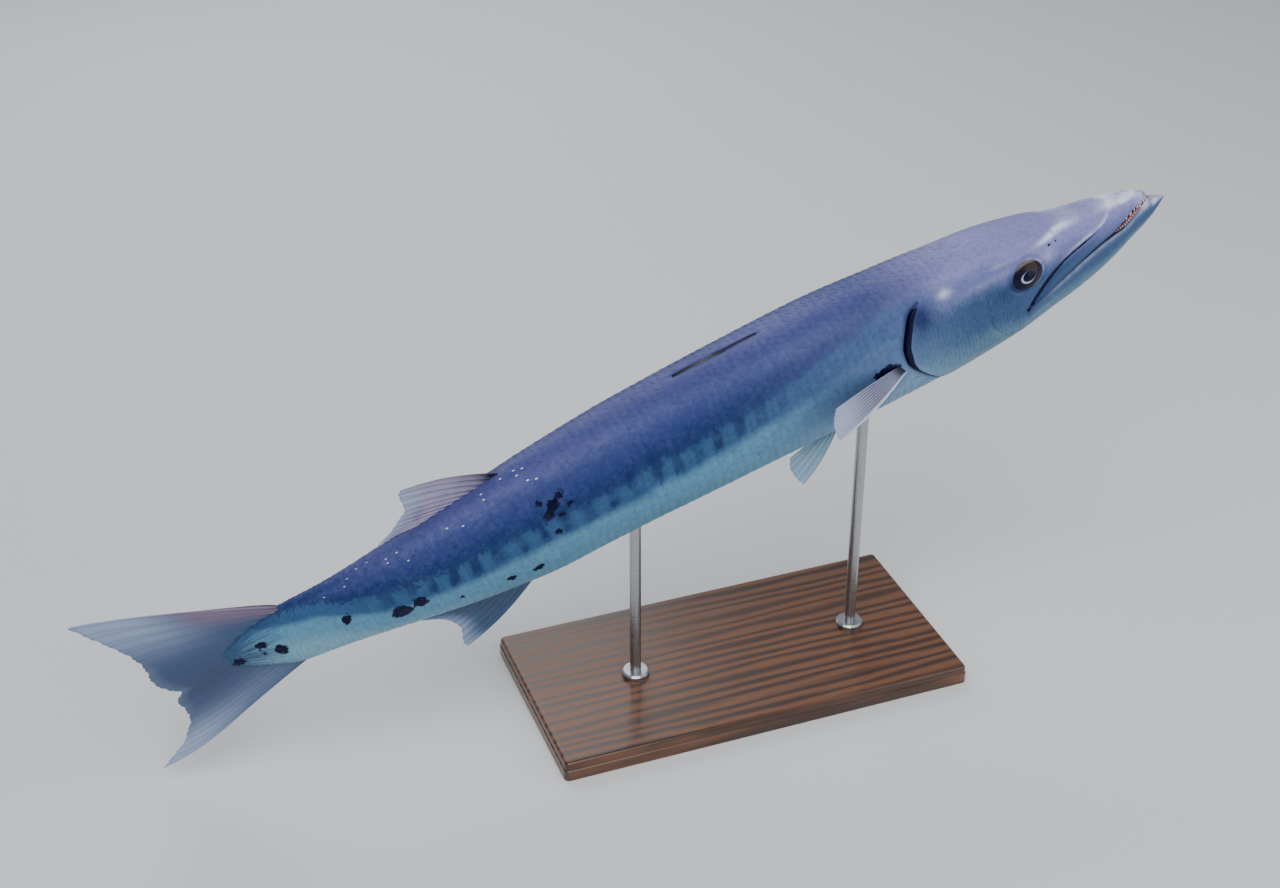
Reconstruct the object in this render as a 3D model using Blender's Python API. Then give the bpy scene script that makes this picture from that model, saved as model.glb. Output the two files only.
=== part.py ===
"""Great barracuda, life-size still display model on a stand.

The fish is laid out in its own body frame and then placed above the stand:
  s  distance behind the tip of the lower jaw, along the body axis
  y  sideways, positive on the fish's left
  z  upwards from the body axis, towards the back
The head points to +X, the body is pitched nose-up and the tail sweeps sideways.
All lengths are in metres.
"""
import math

import bmesh
import bpy
import numpy as np

# Placing of the body above the stand
PITCH = math.radians(17.95)
REFERENCE_STATION = 0.500
REFERENCE_HEIGHT = 0.335
GAP = 0.0003

# Body stations: distance behind the jaw tip, back height, belly depth, half width, squareness
BODY = np.array([
    (0.0000, 0.0006, 0.0006, 0.0006, 2.00),
    (0.0060, 0.0032, 0.0048, 0.0038, 2.05),
    (0.0140, 0.0068, 0.0096, 0.0078, 2.10),
    (0.0208, 0.0104, 0.0134, 0.0108, 2.20),
    (0.0224, 0.0152, 0.0142, 0.0118, 2.20),
    (0.0260, 0.0180, 0.0156, 0.0134, 2.25),
    (0.0340, 0.0215, 0.0186, 0.0162, 2.35),
    (0.0500, 0.0268, 0.0242, 0.0204, 2.50),
    (0.0750, 0.0303, 0.0336, 0.0256, 2.75),
    (0.1020, 0.0340, 0.0416, 0.0301, 2.90),
    (0.1300, 0.0404, 0.0476, 0.0351, 2.90),
    (0.1600, 0.0501, 0.0520, 0.0406, 2.90),
    (0.2000, 0.0573, 0.0592, 0.0463, 2.83),
    (0.2550, 0.0619, 0.0648, 0.0508, 2.70),
    (0.3200, 0.0673, 0.0668, 0.0535, 2.65),
    (0.4100, 0.0719, 0.0680, 0.0553, 2.60),
    (0.5100, 0.0706, 0.0693, 0.0545, 2.47),
    (0.6100, 0.0680, 0.0710, 0.0523, 2.30),
    (0.7150, 0.0655, 0.0721, 0.0470, 2.06),
    (0.8000, 0.0585, 0.0625, 0.0404, 2.00),
    (0.8800, 0.0470, 0.0500, 0.0315, 2.00),
    (0.9500, 0.0358, 0.0432, 0.0228, 2.00),
    (1.0000, 0.0304, 0.0412, 0.0188, 2.00),
])
HEAD_END = 0.339
FRONT_TRUNK_END = 0.600
REAR_TRUNK_END = 0.860
PEDUNCLE_END = 1.000
HEAD_STATIONS = [
    0.0, 0.003, 0.006, 0.010, 0.014, 0.0175, 0.0208, 0.0216, 0.0224, 0.0242, 0.026, 0.030, 0.034,
    0.042, 0.050, 0.0625, 0.075, 0.0885, 0.102, 0.116, 0.130, 0.145, 0.160, 0.180, 0.200, 0.227,
    0.255, 0.280, 0.304, 0.321,
]
HEAD_SIDES = 36
TRUNK_SIDES = 32
TRUNK_ROWS = {"trunk_front": 17, "trunk_rear": 16, "caudal_peduncle": 9}
# Half width of the blocks that cut across the whole head
BLOCK_REACH = 0.1

# Sideways sweep of the tail: station and offset of the middle plane
SWEEP = np.array([(0.0, 0.0), (0.60, 0.0), (0.85, -0.015), (1.03, 0.0), (1.20, 0.030)])

# Mouth: station, upper edge of the lower jaw, lower edge of the upper jaw
GAPE = np.array([
    (-0.010, 0.0129, 0.0141),
    (0.0225, 0.0129, 0.0141),
    (0.0290, 0.0123, 0.0142),
    (0.0383, 0.0101, 0.0144),
    (0.0450, 0.0086, 0.0143),
    (0.0525, 0.0056, 0.0126),
    (0.0630, 0.0034, 0.0078),
    (0.0740, 0.0029, 0.0044),
    (0.0900, 0.0017, 0.0020),
    (0.1063, -0.0011, -0.0008),
    (0.1221, -0.0044, -0.0041),
    (0.1400, -0.0083, -0.0080),
    (0.1909, -0.0198, -0.0195),
])
JAW_HINGE = (0.206, -0.075)
CHEEK_GROOVE = np.array([
    (0.0710, 0.0240), (0.0820, 0.0178), (0.0980, 0.0144), (0.1205, 0.0118),
    (0.1420, 0.0078), (0.1600, 0.0008), (0.1780, -0.0100), (0.1885, -0.0182),
])
CHEEK_GROOVE_RADIUS = 0.0010
LIP_RADIUS = 0.0010
UPPER_LIP = (0.040, 0.172)
LOWER_LIP = (0.034, 0.180)
# Gum: first station of its block, depth inside the jaw's side, stations of its crest,
# share of the gape it rises and depth of its bed
GUM_START = 0.0140
GUM_INSET = 0.0038
GUM_CREST = (0.016, 0.066)
GUM_RISE = 0.55
GUM_BED = 0.006
TOOTH_INSET = 0.0017
TOOTH_ROOT_DEPTH = 0.0028
TOOTH_CLEARANCE = 0.0005
TOOTH_LEAN = 0.0006
# Narrowing of a tooth: share of its length and of its root radius
TOOTH_WAIST = (0.55, 0.72)
TOOTH_POINT = 0.18
TOOTH_SIDES = 7
# Teeth: station, root radius
UPPER_TEETH = [(0.0335, 0.0009), (0.0440, 0.0010), (0.0525, 0.0013), (0.0600, 0.0009)]
LOWER_TEETH = [(0.0300, 0.0008), (0.0385, 0.0009)]

# Eye: place on the side of the head, radii along the head, across it and outwards
EYE_STATION = 0.1855
EYE_HEIGHT = 0.0184
EYE_RADII = (0.0202, 0.0172, 0.0085)
EYE_SINK = 0.0046
EYE_SEGMENTS = 20
EYE_RINGS = 10
EYE_TANGENT_STEP = 0.012
RIM_RADIUS = 0.0186
RIM_FLATNESS = 0.86
RIM_THICKNESS = 0.0013
RIM_STEPS = 22
TUBE_SIDES = 6
TUBE_STEPS = 13
# Nostrils: station, height, radii along and across, depth
NOSTRILS = [(0.1513, 0.0330, 0.0024, 0.0010), (0.1425, 0.0322, 0.0013, 0.0011)]
NOSTRIL_DEPTH = 0.0016
NOSTRIL_TANGENT_STEP = 0.004

# Gill cover: angle from the back in degrees and rear edge station
GILL_EDGE = np.array([
    (50.0, 0.3030), (55.4, 0.3130), (63.2, 0.3197), (72.9, 0.3247), (82.3, 0.3295),
    (88.5, 0.3338), (94.7, 0.3314), (102.1, 0.3256), (113.0, 0.3168), (126.3, 0.3064),
    (140.0, 0.2920), (152.0, 0.2740), (164.0, 0.2460),
])
GILL_FRONT = 0.2260
GILL_DEPTH = 0.0040
GILL_PROUD = 0.0012
GILL_SLIT = 0.0014
GILL_ROWS = 15
GILL_SHARES = np.array([0.0, 0.25, 0.5, 0.75, 0.92, 1.0])
# The recess is this much wider round the cover, in degrees for each metre of spread, and
# stands this high over its front and rear edge
GILL_SPREAD_DEGREES = 1200
GILL_CUT_RISE = (0.004, 0.006)

# Folded first dorsal fin in its groove along the back
GROOVE = (0.456, 0.554)
GROOVE_HALF_WIDTH = 0.0027
GROOVE_DEPTH = 0.0026
GROOVE_ROWS = 19
GROOVE_CUT_RISE = 0.006
SPINE_RISE = 0.0012
SPINE_BEAT = 0.0004
SPINE_COUNT = 5

# Fin skin and rays, half thicknesses
WEB = 0.0004
RAY_ROOT = 0.0017
RAY_TIP = 0.0006
MARGIN = 0.0003

# Second dorsal fin: root stations, margin as share, station and height, bulge of its first
# and last ray
FIN_RAYS = 10
FIN_ROWS = 8
DORSAL_ROOT = (0.7516, 0.8440)
DORSAL_MARGIN = [(0.0, 0.8425, 0.0980), (0.14, 0.8462, 0.0930), (0.34, 0.8462, 0.0775),
                 (0.55, 0.8554, 0.0680), (0.78, 0.8698, 0.0580), (1.0, 0.8861, 0.0516)]
DORSAL_BULGE = (0.0052, 0.0012)
# Anal fin, in the same way
ANAL_ROOT = (0.7540, 0.8440)
ANAL_MARGIN = [(0.0, 0.8500, -0.1120), (0.14, 0.8520, -0.1045), (0.34, 0.8480, -0.0865),
               (0.55, 0.8540, -0.0730), (0.78, 0.8660, -0.0625), (1.0, 0.8800, -0.0548)]
ANAL_BULGE = (-0.0060, -0.0012)

# Tail fin: share of its height where the lobes part, rays, rows, length of the fleshy root,
# half thickness of a ray's root, margin and bulge of the upper and lower edge
TAIL_PARTING = 0.52
TAIL_RAYS = 16
TAIL_ROWS = 11
TAIL_FLESH = 0.075
TAIL_RAY_ROOT = 0.0016
TAIL_MARGIN = [
    (0.0, 1.1791, -0.1115), (0.09, 1.1600, -0.0975), (0.17, 1.1440, -0.0850),
    (0.25, 1.1370, -0.0745), (0.33, 1.1280, -0.0610), (0.40, 1.1270, -0.0480),
    (0.47, 1.1300, -0.0350), (TAIL_PARTING, 1.1215, -0.0262), (0.58, 1.1330, -0.0165),
    (0.65, 1.1409, -0.0010), (0.72, 1.1400, 0.0165), (0.79, 1.1445, 0.0345),
    (0.86, 1.1540, 0.0520), (0.93, 1.1670, 0.0720), (1.0, 1.1823, 0.0955),
]
TAIL_BULGE = (0.0078, 0.0070)
# Share of the tail root's half height left clear of its top and foot, as a half turn
TAIL_TURN = 0.06

# Pectoral fin: root and margin as share, station and height; reach outwards at the margin,
# its bow and its slope with height; overlap with the body before it is cut to it
PECTORAL_ROOT = np.array([(0.0, 0.3428, -0.0175), (1.0, 0.3495, -0.0050)])
PECTORAL_MARGIN = np.array([(0.0, 0.4300, -0.0362), (0.2, 0.4340, -0.0290), (0.45, 0.4345, -0.0190),
                            (0.75, 0.4318, -0.0080), (1.0, 0.4268, 0.0022)])
PECTORAL_SPREAD = 0.0800
PECTORAL_BOW = 0.0030
PECTORAL_SLOPE = 0.04
PECTORAL_TIP = -0.036
PECTORAL_RAY_ROOT = 0.0019
PECTORAL_OVERLAP = 0.006
PECTORAL_BODY = (0.300, 0.460)
# Pelvic fin: root as share, station and offset; margin as share, station, offset and height
PELVIC_ROOT = np.array([(0.0, 0.4090, -0.0145), (1.0, 0.4235, -0.0120)])
PELVIC_MARGIN = np.array([(0.0, 0.4690, -0.0325, -0.1052), (0.3, 0.4735, -0.0285, -0.0965),
                          (0.65, 0.4752, -0.0235, -0.0860), (1.0, 0.4715, -0.0190, -0.0765)])
PELVIC_RAYS = 6
PELVIC_ROWS = 7
PELVIC_RAY_ROOT = 0.0016
PELVIC_OVERLAP = 0.005
PELVIC_BODY = (0.380, 0.500)
ROOT_SINK = 0.0007

# Stand
BASE_SIZE = (0.460, 0.230, 0.022)
BASE_CHAMFER = 0.004
ROD_RADIUS = 0.006
COLLAR_RADIUS = 0.015
COLLAR_HEIGHT = 0.006
COLLAR_BEVEL = 0.002
ROD_STATIONS = {"stand_rod_front": 0.372, "stand_rod_rear": 0.640}
ROD_SIDES = 20
ROD_OVERRUN = 0.020
ROD_BODY_REACH = 0.07

# Finish of each kind of node: display colour from 0 to 255, roughness, metallic
FINISHES = {
    "head": ((138, 140, 188), 0.36, 0.0),
    "jaw": ((142, 158, 196), 0.36, 0.0),
    "gill": ((116, 134, 176), 0.34, 0.0),
    "eye": ((24, 26, 36), 0.10, 0.0),
    "trunk_front": ((78, 98, 150), 0.34, 0.0),
    "trunk_rear": ((66, 96, 146), 0.34, 0.0),
    "caudal_peduncle": ((72, 118, 158), 0.34, 0.0),
    "fin_dark": ((52, 54, 96), 0.45, 0.0),
    "fin_blush": ((150, 146, 186), 0.42, 0.0),
    "fin_slate": ((58, 84, 122), 0.42, 0.0),
    "fin_tail": ((72, 110, 158), 0.42, 0.0),
    "fin_pectoral": ((164, 158, 190), 0.40, 0.0),
    "fin_pelvic": ((110, 150, 176), 0.40, 0.0),
    "wood": ((92, 62, 42), 0.35, 0.0),
    "steel": ((178, 180, 184), 0.28, 1.0),
}
SHARP_ANGLE = 40.0


def smooth_curve(x, knots, column=1):
    """Monotone cubic through the knots: no overshoot between them."""
    x = np.asarray(x, float)
    xk = knots[:, 0]
    yk = knots[:, column]
    step = np.diff(xk)
    slope = np.diff(yk) / step
    tangent = np.zeros(len(xk))
    tangent[0] = slope[0]
    tangent[-1] = slope[-1]
    w1 = 2 * step[1:] + step[:-1]
    w2 = step[1:] + 2 * step[:-1]
    same = slope[:-1] * slope[1:] > 0
    safe0 = np.where(same, slope[:-1], 1.0)
    safe1 = np.where(same, slope[1:], 1.0)
    tangent[1:-1] = np.where(same, (w1 + w2) / (w1 / safe0 + w2 / safe1), 0.0)
    i = np.clip(np.searchsorted(xk, x) - 1, 0, len(step) - 1)
    t = (x - xk[i]) / step[i]
    start = (1 + 2 * t) * (1 - t) ** 2 * yk[i] + t * (1 - t) ** 2 * step[i] * tangent[i]
    end = t * t * (3 - 2 * t) * yk[i + 1] + t * t * (t - 1) * step[i] * tangent[i + 1]
    return start + end


def section(s, grow=0.0):
    """Centre height, half height, half width and squareness of the body section at s."""
    top = smooth_curve(s, BODY, 1) + grow
    belly = smooth_curve(s, BODY, 2) + grow
    width = smooth_curve(s, BODY, 3) + grow
    return (top - belly) / 2, (top + belly) / 2, width, smooth_curve(s, BODY, 4)


def sweep(s):
    """Sideways offset of the body's middle plane at s."""
    return smooth_curve(s, SWEEP)


def skin_point(s, angle, grow=0.0):
    """Point of the body surface: angle 0 is the back, positive angles the left side."""
    centre, half_height, width, power = section(s, grow)
    c = np.cos(angle)
    d = np.sin(angle)
    y = width * np.sign(d) * np.abs(d) ** (2 / power)
    z = centre + half_height * np.sign(c) * np.abs(c) ** (2 / power)
    return np.stack(np.broadcast_arrays(s, y + sweep(s), z), -1)


def side_width(s, z, grow=0.0):
    """Half width of the body at station s and height z."""
    centre, half_height, width, power = section(s, grow)
    ratio = np.clip(np.abs((z - centre) / half_height), 0, 1)
    return width * (1 - ratio ** power) ** (1 / power)


def fish_frame():
    """The empty that carries the fish: its X axis is the body axis, turned nose-up."""
    carrier = bpy.data.objects.get("fish_frame")
    if carrier is None:
        carrier = bpy.data.objects.new("fish_frame", None)
        carrier.location = (0.0, 0.0, REFERENCE_HEIGHT)
        carrier.rotation_euler = (0.0, -PITCH, 0.0)
        bpy.context.scene.collection.objects.link(carrier)
    return carrier


def belly_above_stand(station):
    """Shared-frame x and height of the belly's lowest line at a station."""
    ahead = REFERENCE_STATION - station
    z = -float(smooth_curve(station, BODY, 2))
    x = ahead * math.cos(PITCH) - z * math.sin(PITCH)
    return x, REFERENCE_HEIGHT + ahead * math.sin(PITCH) + z * math.cos(PITCH)


def linear(value):
    """Display colour channel, 0 to 255, as a linear value."""
    v = value / 255
    return v / 12.92 if v <= 0.04045 else ((v + 0.055) / 1.055) ** 2.4


def add_object(name, points, faces, body_frame=True):
    """A mesh object with outward faces; body-frame pieces are carried by the fish's empty."""
    points = np.array(points, float)
    if body_frame:
        points[:, 0] = REFERENCE_STATION - points[:, 0]
    mesh = bpy.data.meshes.new(name)
    mesh.from_pydata([tuple(p) for p in points], [], faces)
    bm = bmesh.new()
    bm.from_mesh(mesh)
    bmesh.ops.recalc_face_normals(bm, faces=bm.faces)
    bm.to_mesh(mesh)
    bm.free()
    obj = bpy.data.objects.new(name, mesh)
    if body_frame:
        obj.parent = fish_frame()
    bpy.context.scene.collection.objects.link(obj)
    return obj


def ring_solid(name, stations, sides, grow=0.0):
    """Body surface between two stations, closed by flat end faces."""
    angles = np.arange(sides) * 2 * math.pi / sides
    points = skin_point(np.asarray(stations)[:, None], angles[None, :], grow)
    count = len(stations)
    faces = []
    for i in range(count - 1):
        for j in range(sides):
            k = (j + 1) % sides
            faces.append((i * sides + j, i * sides + k, (i + 1) * sides + k, (i + 1) * sides + j))
    faces.append(tuple(range(sides)))
    faces.append(tuple((count - 1) * sides + j for j in range(sides)))
    return add_object(name, points.reshape(-1, 3), faces)


def slab(name, upper, lower, body_frame=True):
    """Closed solid between two grids of the same shape, split alike on both faces."""
    rows, columns = upper.shape[:2]
    size = rows * columns
    points = np.concatenate([upper.reshape(-1, 3), lower.reshape(-1, 3)])
    faces = []
    for i in range(rows - 1):
        for j in range(columns - 1):
            a = i * columns + j
            b, c, d = a + 1, a + columns + 1, a + columns
            pair = ((a, b, c), (a, c, d)) if j % 2 == 0 else ((a, b, d), (b, c, d))
            for tri in pair:
                faces.append(tri)
                faces.append(tuple(size + v for v in reversed(tri)))
    rim = [j for j in range(columns)]
    rim += [i * columns + columns - 1 for i in range(1, rows)]
    rim += [(rows - 1) * columns + j for j in range(columns - 2, -1, -1)]
    rim += [i * columns for i in range(rows - 2, 0, -1)]
    for a, b in zip(rim, rim[1:] + rim[:1]):
        faces.append((b, a, size + a))
        faces.append((b, size + a, size + b))
    return add_object(name, points, faces, body_frame)


def prism(name, outline, half_width):
    """Side outline, a list of (s, z), drawn across the whole width."""
    count = len(outline)
    points = [(s, -half_width, z) for s, z in outline] + [(s, half_width, z) for s, z in outline]
    faces = [tuple(range(count)), tuple(range(2 * count - 1, count - 1, -1))]
    for i in range(count):
        j = (i + 1) % count
        faces.append((i, j, count + j, count + i))
    return add_object(name, points, faces)


def ellipsoid(name, centre, axes, radii, segments, rings):
    """Closed ellipsoid about a body-frame centre with given unit axes."""
    points = [centre + axes[2] * radii[2]]
    for i in range(1, rings):
        lat = math.pi * i / rings
        for j in range(segments):
            lon = 2 * math.pi * j / segments
            flat = axes[0] * radii[0] * math.cos(lon) + axes[1] * radii[1] * math.sin(lon)
            points.append(centre + flat * math.sin(lat) + axes[2] * radii[2] * math.cos(lat))
    points.append(centre - axes[2] * radii[2])
    faces = []
    last = len(points) - 1
    for j in range(segments):
        k = (j + 1) % segments
        faces.append((0, 1 + j, 1 + k))
        faces.append((last, last - segments + k, last - segments + j))
        for i in range(rings - 2):
            a = 1 + i * segments
            faces.append((a + j, a + segments + j, a + segments + k, a + k))
    return add_object(name, np.array(points), faces)


def tube(name, path, radius, sides, closed=False):
    """Round tube of constant radius along a path, with flat ends unless closed."""
    path = np.asarray(path, float)
    if closed:
        along = np.roll(path, -1, 0) - np.roll(path, 1, 0)
    else:
        along = np.gradient(path, axis=0)
    along /= np.linalg.norm(along, axis=1)[:, None]
    middle = np.array([path[:, 0].mean(), 0.0, path[:, 2].mean()])
    across = np.cross(along, path - middle)
    across /= np.linalg.norm(across, axis=1)[:, None]
    other = np.cross(along, across)
    angle = np.arange(sides) * 2 * math.pi / sides
    points = path[:, None] + radius * (np.cos(angle)[None, :, None] * across[:, None]
                                       + np.sin(angle)[None, :, None] * other[:, None])
    count = len(path)
    faces = []
    for i in range(count if closed else count - 1):
        n = (i + 1) % count
        for j in range(sides):
            k = (j + 1) % sides
            faces.append((i * sides + j, i * sides + k, n * sides + k, n * sides + j))
    if not closed:
        faces.append(tuple(range(sides)))
        faces.append(tuple((count - 1) * sides + j for j in range(sides)))
    return add_object(name, points.reshape(-1, 3), faces)


def cone(name, root, tip, radius, sides=TOOTH_SIDES):
    """Pointed tooth from its root centre to its tip, with a slightly blunt end."""
    axis = tip - root
    axis /= np.linalg.norm(axis)
    across = np.cross(axis, [0.0, 1.0, 0.0])
    across /= np.linalg.norm(across)
    other = np.cross(axis, across)
    angle = np.arange(sides) * 2 * math.pi / sides
    ring = np.cos(angle)[:, None] * across + np.sin(angle)[:, None] * other
    waist = root + (tip - root) * TOOTH_WAIST[0]
    levels = [(root, 1.0), (waist, TOOTH_WAIST[1]), (tip, TOOTH_POINT)]
    points = np.concatenate([centre + radius * scale * ring for centre, scale in levels])
    faces = [tuple(range(sides)), tuple(2 * sides + j for j in range(sides))]
    for i in range(2):
        for j in range(sides):
            k = (j + 1) % sides
            faces.append((i * sides + j, i * sides + k, (i + 1) * sides + k, (i + 1) * sides + j))
    return add_object(name, points, faces)


def combine(target, operands, operation):
    """Boolean of the target with all operands together; the operands are removed."""
    group = bpy.data.collections.new("operands")
    bpy.context.scene.collection.children.link(group)
    for obj in operands:
        bpy.context.scene.collection.objects.unlink(obj)
        group.objects.link(obj)
        obj.hide_render = True
        obj.display_type = "WIRE"
    modifier = target.modifiers.new("cut", "BOOLEAN")
    modifier.operation = operation
    modifier.solver = "EXACT"
    modifier.operand_type = "COLLECTION"
    modifier.collection = group
    graph = bpy.context.evaluated_depsgraph_get()
    result = bpy.data.meshes.new_from_object(target.evaluated_get(graph))
    target.modifiers.clear()
    target.data = result
    for obj in list(group.objects):
        bpy.data.objects.remove(obj)
    bpy.data.collections.remove(group)
    return target


def keep_largest(obj):
    """Drop every closed surface of the object but the one with the most faces."""
    bm = bmesh.new()
    bm.from_mesh(obj.data)
    left = set(bm.faces)
    islands = []
    while left:
        stack = [left.pop()]
        island = []
        while stack:
            face = stack.pop()
            island.append(face)
            for edge in face.edges:
                for other in edge.link_faces:
                    if other in left:
                        left.remove(other)
                        stack.append(other)
        islands.append(island)
    islands.sort(key=len)
    loose = [face for island in islands[:-1] for face in island]
    bmesh.ops.delete(bm, geom=loose, context="FACES")
    bm.to_mesh(obj.data)
    bm.free()


def finish(obj, kind):
    """Name, material and shading of a finished node."""
    colour, roughness, metallic = FINISHES[kind]
    keep_largest(obj)
    mesh = obj.data
    mesh.name = obj.name
    mesh.materials.clear()
    material = bpy.data.materials.new(obj.name)
    material.use_nodes = True
    shader = material.node_tree.nodes["Principled BSDF"]
    shader.inputs["Base Color"].default_value = tuple(linear(c) for c in colour) + (1.0,)
    shader.inputs["Roughness"].default_value = roughness
    shader.inputs["Metallic"].default_value = metallic
    mesh.materials.append(material)
    mesh.polygons.foreach_set("material_index", [0] * len(mesh.polygons))
    mesh.polygons.foreach_set("use_smooth", [True] * len(mesh.polygons))
    mesh.set_sharp_from_angle(angle=math.radians(SHARP_ANGLE))


def jaw_outline(column, rear_shift):
    """Side outline of the lower jaw's block under one edge of the mouth."""
    outline = [(s, row) for s, row in GAPE[:, [0, column]]]
    corner_s, corner_z = outline[-1]
    outline[-1] = (corner_s + rear_shift, corner_z)
    outline.append((JAW_HINGE[0] + rear_shift, JAW_HINGE[1]))
    outline.append((GAPE[0, 0], JAW_HINGE[1]))
    return outline


def eye_frame(side):
    """Surface point of the eye and its axes: along the head, across it, outwards."""
    width = side_width(EYE_STATION, EYE_HEIGHT)
    centre = np.array([EYE_STATION, side * width, EYE_HEIGHT])
    step = EYE_TANGENT_STEP
    ahead = np.array([EYE_STATION + step, side * side_width(EYE_STATION + step, EYE_HEIGHT), EYE_HEIGHT])
    above = np.array([EYE_STATION, side * side_width(EYE_STATION, EYE_HEIGHT + step), EYE_HEIGHT + step])
    below = np.array([EYE_STATION, side * side_width(EYE_STATION, EYE_HEIGHT - step), EYE_HEIGHT - step])
    along = (ahead - centre) / np.linalg.norm(ahead - centre)
    out = np.cross(along, above - below) * -side
    out /= np.linalg.norm(out)
    return centre, (along, np.cross(out, along), out)


def eyeball(name, side, grow=0.0):
    """Flattened eyeball sunk in the side of the head."""
    centre, axes = eye_frame(side)
    radii = [r + grow for r in EYE_RADII]
    return ellipsoid(name, centre - axes[2] * EYE_SINK, axes, radii, EYE_SEGMENTS, EYE_RINGS)


def eye_rim(side):
    """Low ring of skin round the eye, following the side of the head."""
    turn = np.arange(RIM_STEPS) * 2 * math.pi / RIM_STEPS
    s = EYE_STATION + RIM_RADIUS * np.cos(turn)
    z = EYE_HEIGHT + RIM_RADIUS * RIM_FLATNESS * np.sin(turn)
    y = side * (side_width(s, z) - RIM_THICKNESS * 0.35)
    return tube("rim", np.stack([s, y, z], -1), RIM_THICKNESS, TUBE_SIDES, closed=True)


def nostril(side, station, height, along, across):
    """Small pit in the side of the snout."""
    centre = np.array([station, side * side_width(station, height), height])
    above = height + NOSTRIL_TANGENT_STEP
    raised = np.array([station, side * side_width(station, above), above])
    up = (raised - centre) / np.linalg.norm(raised - centre)
    out = np.cross([1.0, 0.0, 0.0], up) * -side
    out /= np.linalg.norm(out)
    return ellipsoid("pit", centre, (np.array([1.0, 0.0, 0.0]), up, out),
                     (along, across, NOSTRIL_DEPTH), 10, 6)


def cheek_groove(side):
    """Channel along the upper edge of the jaw plate on the cheek."""
    s = np.linspace(CHEEK_GROOVE[0, 0], CHEEK_GROOVE[-1, 0], TUBE_STEPS + 2)
    z = smooth_curve(s, CHEEK_GROOVE)
    path = np.stack([s, side * side_width(s, z), z], -1)
    return tube("channel", path, CHEEK_GROOVE_RADIUS, TUBE_SIDES)


def lip_roll(side, column, lift, ends):
    """Rounded lip along one edge of the mouth."""
    s = np.linspace(ends[0], ends[1], TUBE_STEPS)
    z = smooth_curve(s, GAPE, column) + lift
    path = np.stack([s, side * (side_width(s, z) - LIP_RADIUS * 0.3), z], -1)
    return tube("lip", path, LIP_RADIUS, TUBE_SIDES)


def gill_grid(side, grow_front, grow_rear, spread, slit):
    """Grid over the gill cover: from its front edge to its rear edge, back to belly."""
    degrees = np.linspace(GILL_EDGE[0, 0], GILL_EDGE[-1, 0], GILL_ROWS)
    rear = smooth_curve(degrees, GILL_EDGE) + slit
    drawn = degrees.copy()
    drawn[0] -= spread * GILL_SPREAD_DEGREES
    drawn[-1] += spread * GILL_SPREAD_DEGREES
    front = GILL_FRONT - spread
    s = front + GILL_SHARES[None, :] * (rear[:, None] - front)
    grow = grow_front + (grow_rear - grow_front) * GILL_SHARES[None, :] ** 2
    return skin_point(s, side * np.radians(drawn)[:, None] + 0 * s, grow + 0 * s)


def gill_cover(name, side):
    """Flap over the gills, its rear edge standing slightly proud."""
    return slab(name, gill_grid(side, 0.0, GILL_PROUD, 0.0, 0.0),
                gill_grid(side, -GILL_DEPTH, -GILL_DEPTH * 0.8, 0.0, 0.0))


def gill_pocket(side):
    """Recess the gill cover lies in, open behind it as the gill slit."""
    deep = GILL_DEPTH + GAP
    return slab("pocket", gill_grid(side, *GILL_CUT_RISE, GAP, GILL_SLIT),
                gill_grid(side, -deep, -deep * 0.85 - GAP, GAP, GILL_SLIT))


def full_head(name, grow=0.0, start=0.0):
    """Head and jaws as one solid, before the mouth is cut."""
    stations = HEAD_STATIONS + [HEAD_END - GAP / 2]
    return ring_solid(name, [s for s in stations if s >= start], HEAD_SIDES, grow)


def build_head():
    """Skull, upper jaw and cheeks with sockets, nostrils, gill recesses and fangs."""
    head = full_head("head")
    teeth = []
    cuts = [prism("mouth", jaw_outline(2, GAP / 2), BLOCK_REACH)]
    for side in (-1, 1):
        cuts.append(gill_pocket(side))
        cuts.append(cheek_groove(side))
        cuts += [nostril(side, *n) for n in NOSTRILS]
    combine(head, cuts, "DIFFERENCE")
    combine(head, [eye_rim(side) for side in (-1, 1)], "UNION")
    combine(head, [eyeball("socket", side, GAP) for side in (-1, 1)], "DIFFERENCE")
    for side in (-1, 1):
        for s, radius in UPPER_TEETH:
            edge = float(smooth_curve(s, GAPE, 2))
            lip = float(smooth_curve(s, GAPE, 1))
            y = side * (side_width(s, edge) - TOOTH_INSET)
            root = np.array([s - TOOTH_LEAN, y, edge + TOOTH_ROOT_DEPTH])
            tip = np.array([s + TOOTH_LEAN, y, lip + TOOTH_CLEARANCE])
            teeth.append(cone("tooth", root, tip, radius))
    teeth += [lip_roll(side, 2, LIP_RADIUS + GAP, UPPER_LIP) for side in (-1, 1)]
    combine(head, teeth, "UNION")
    return head


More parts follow.
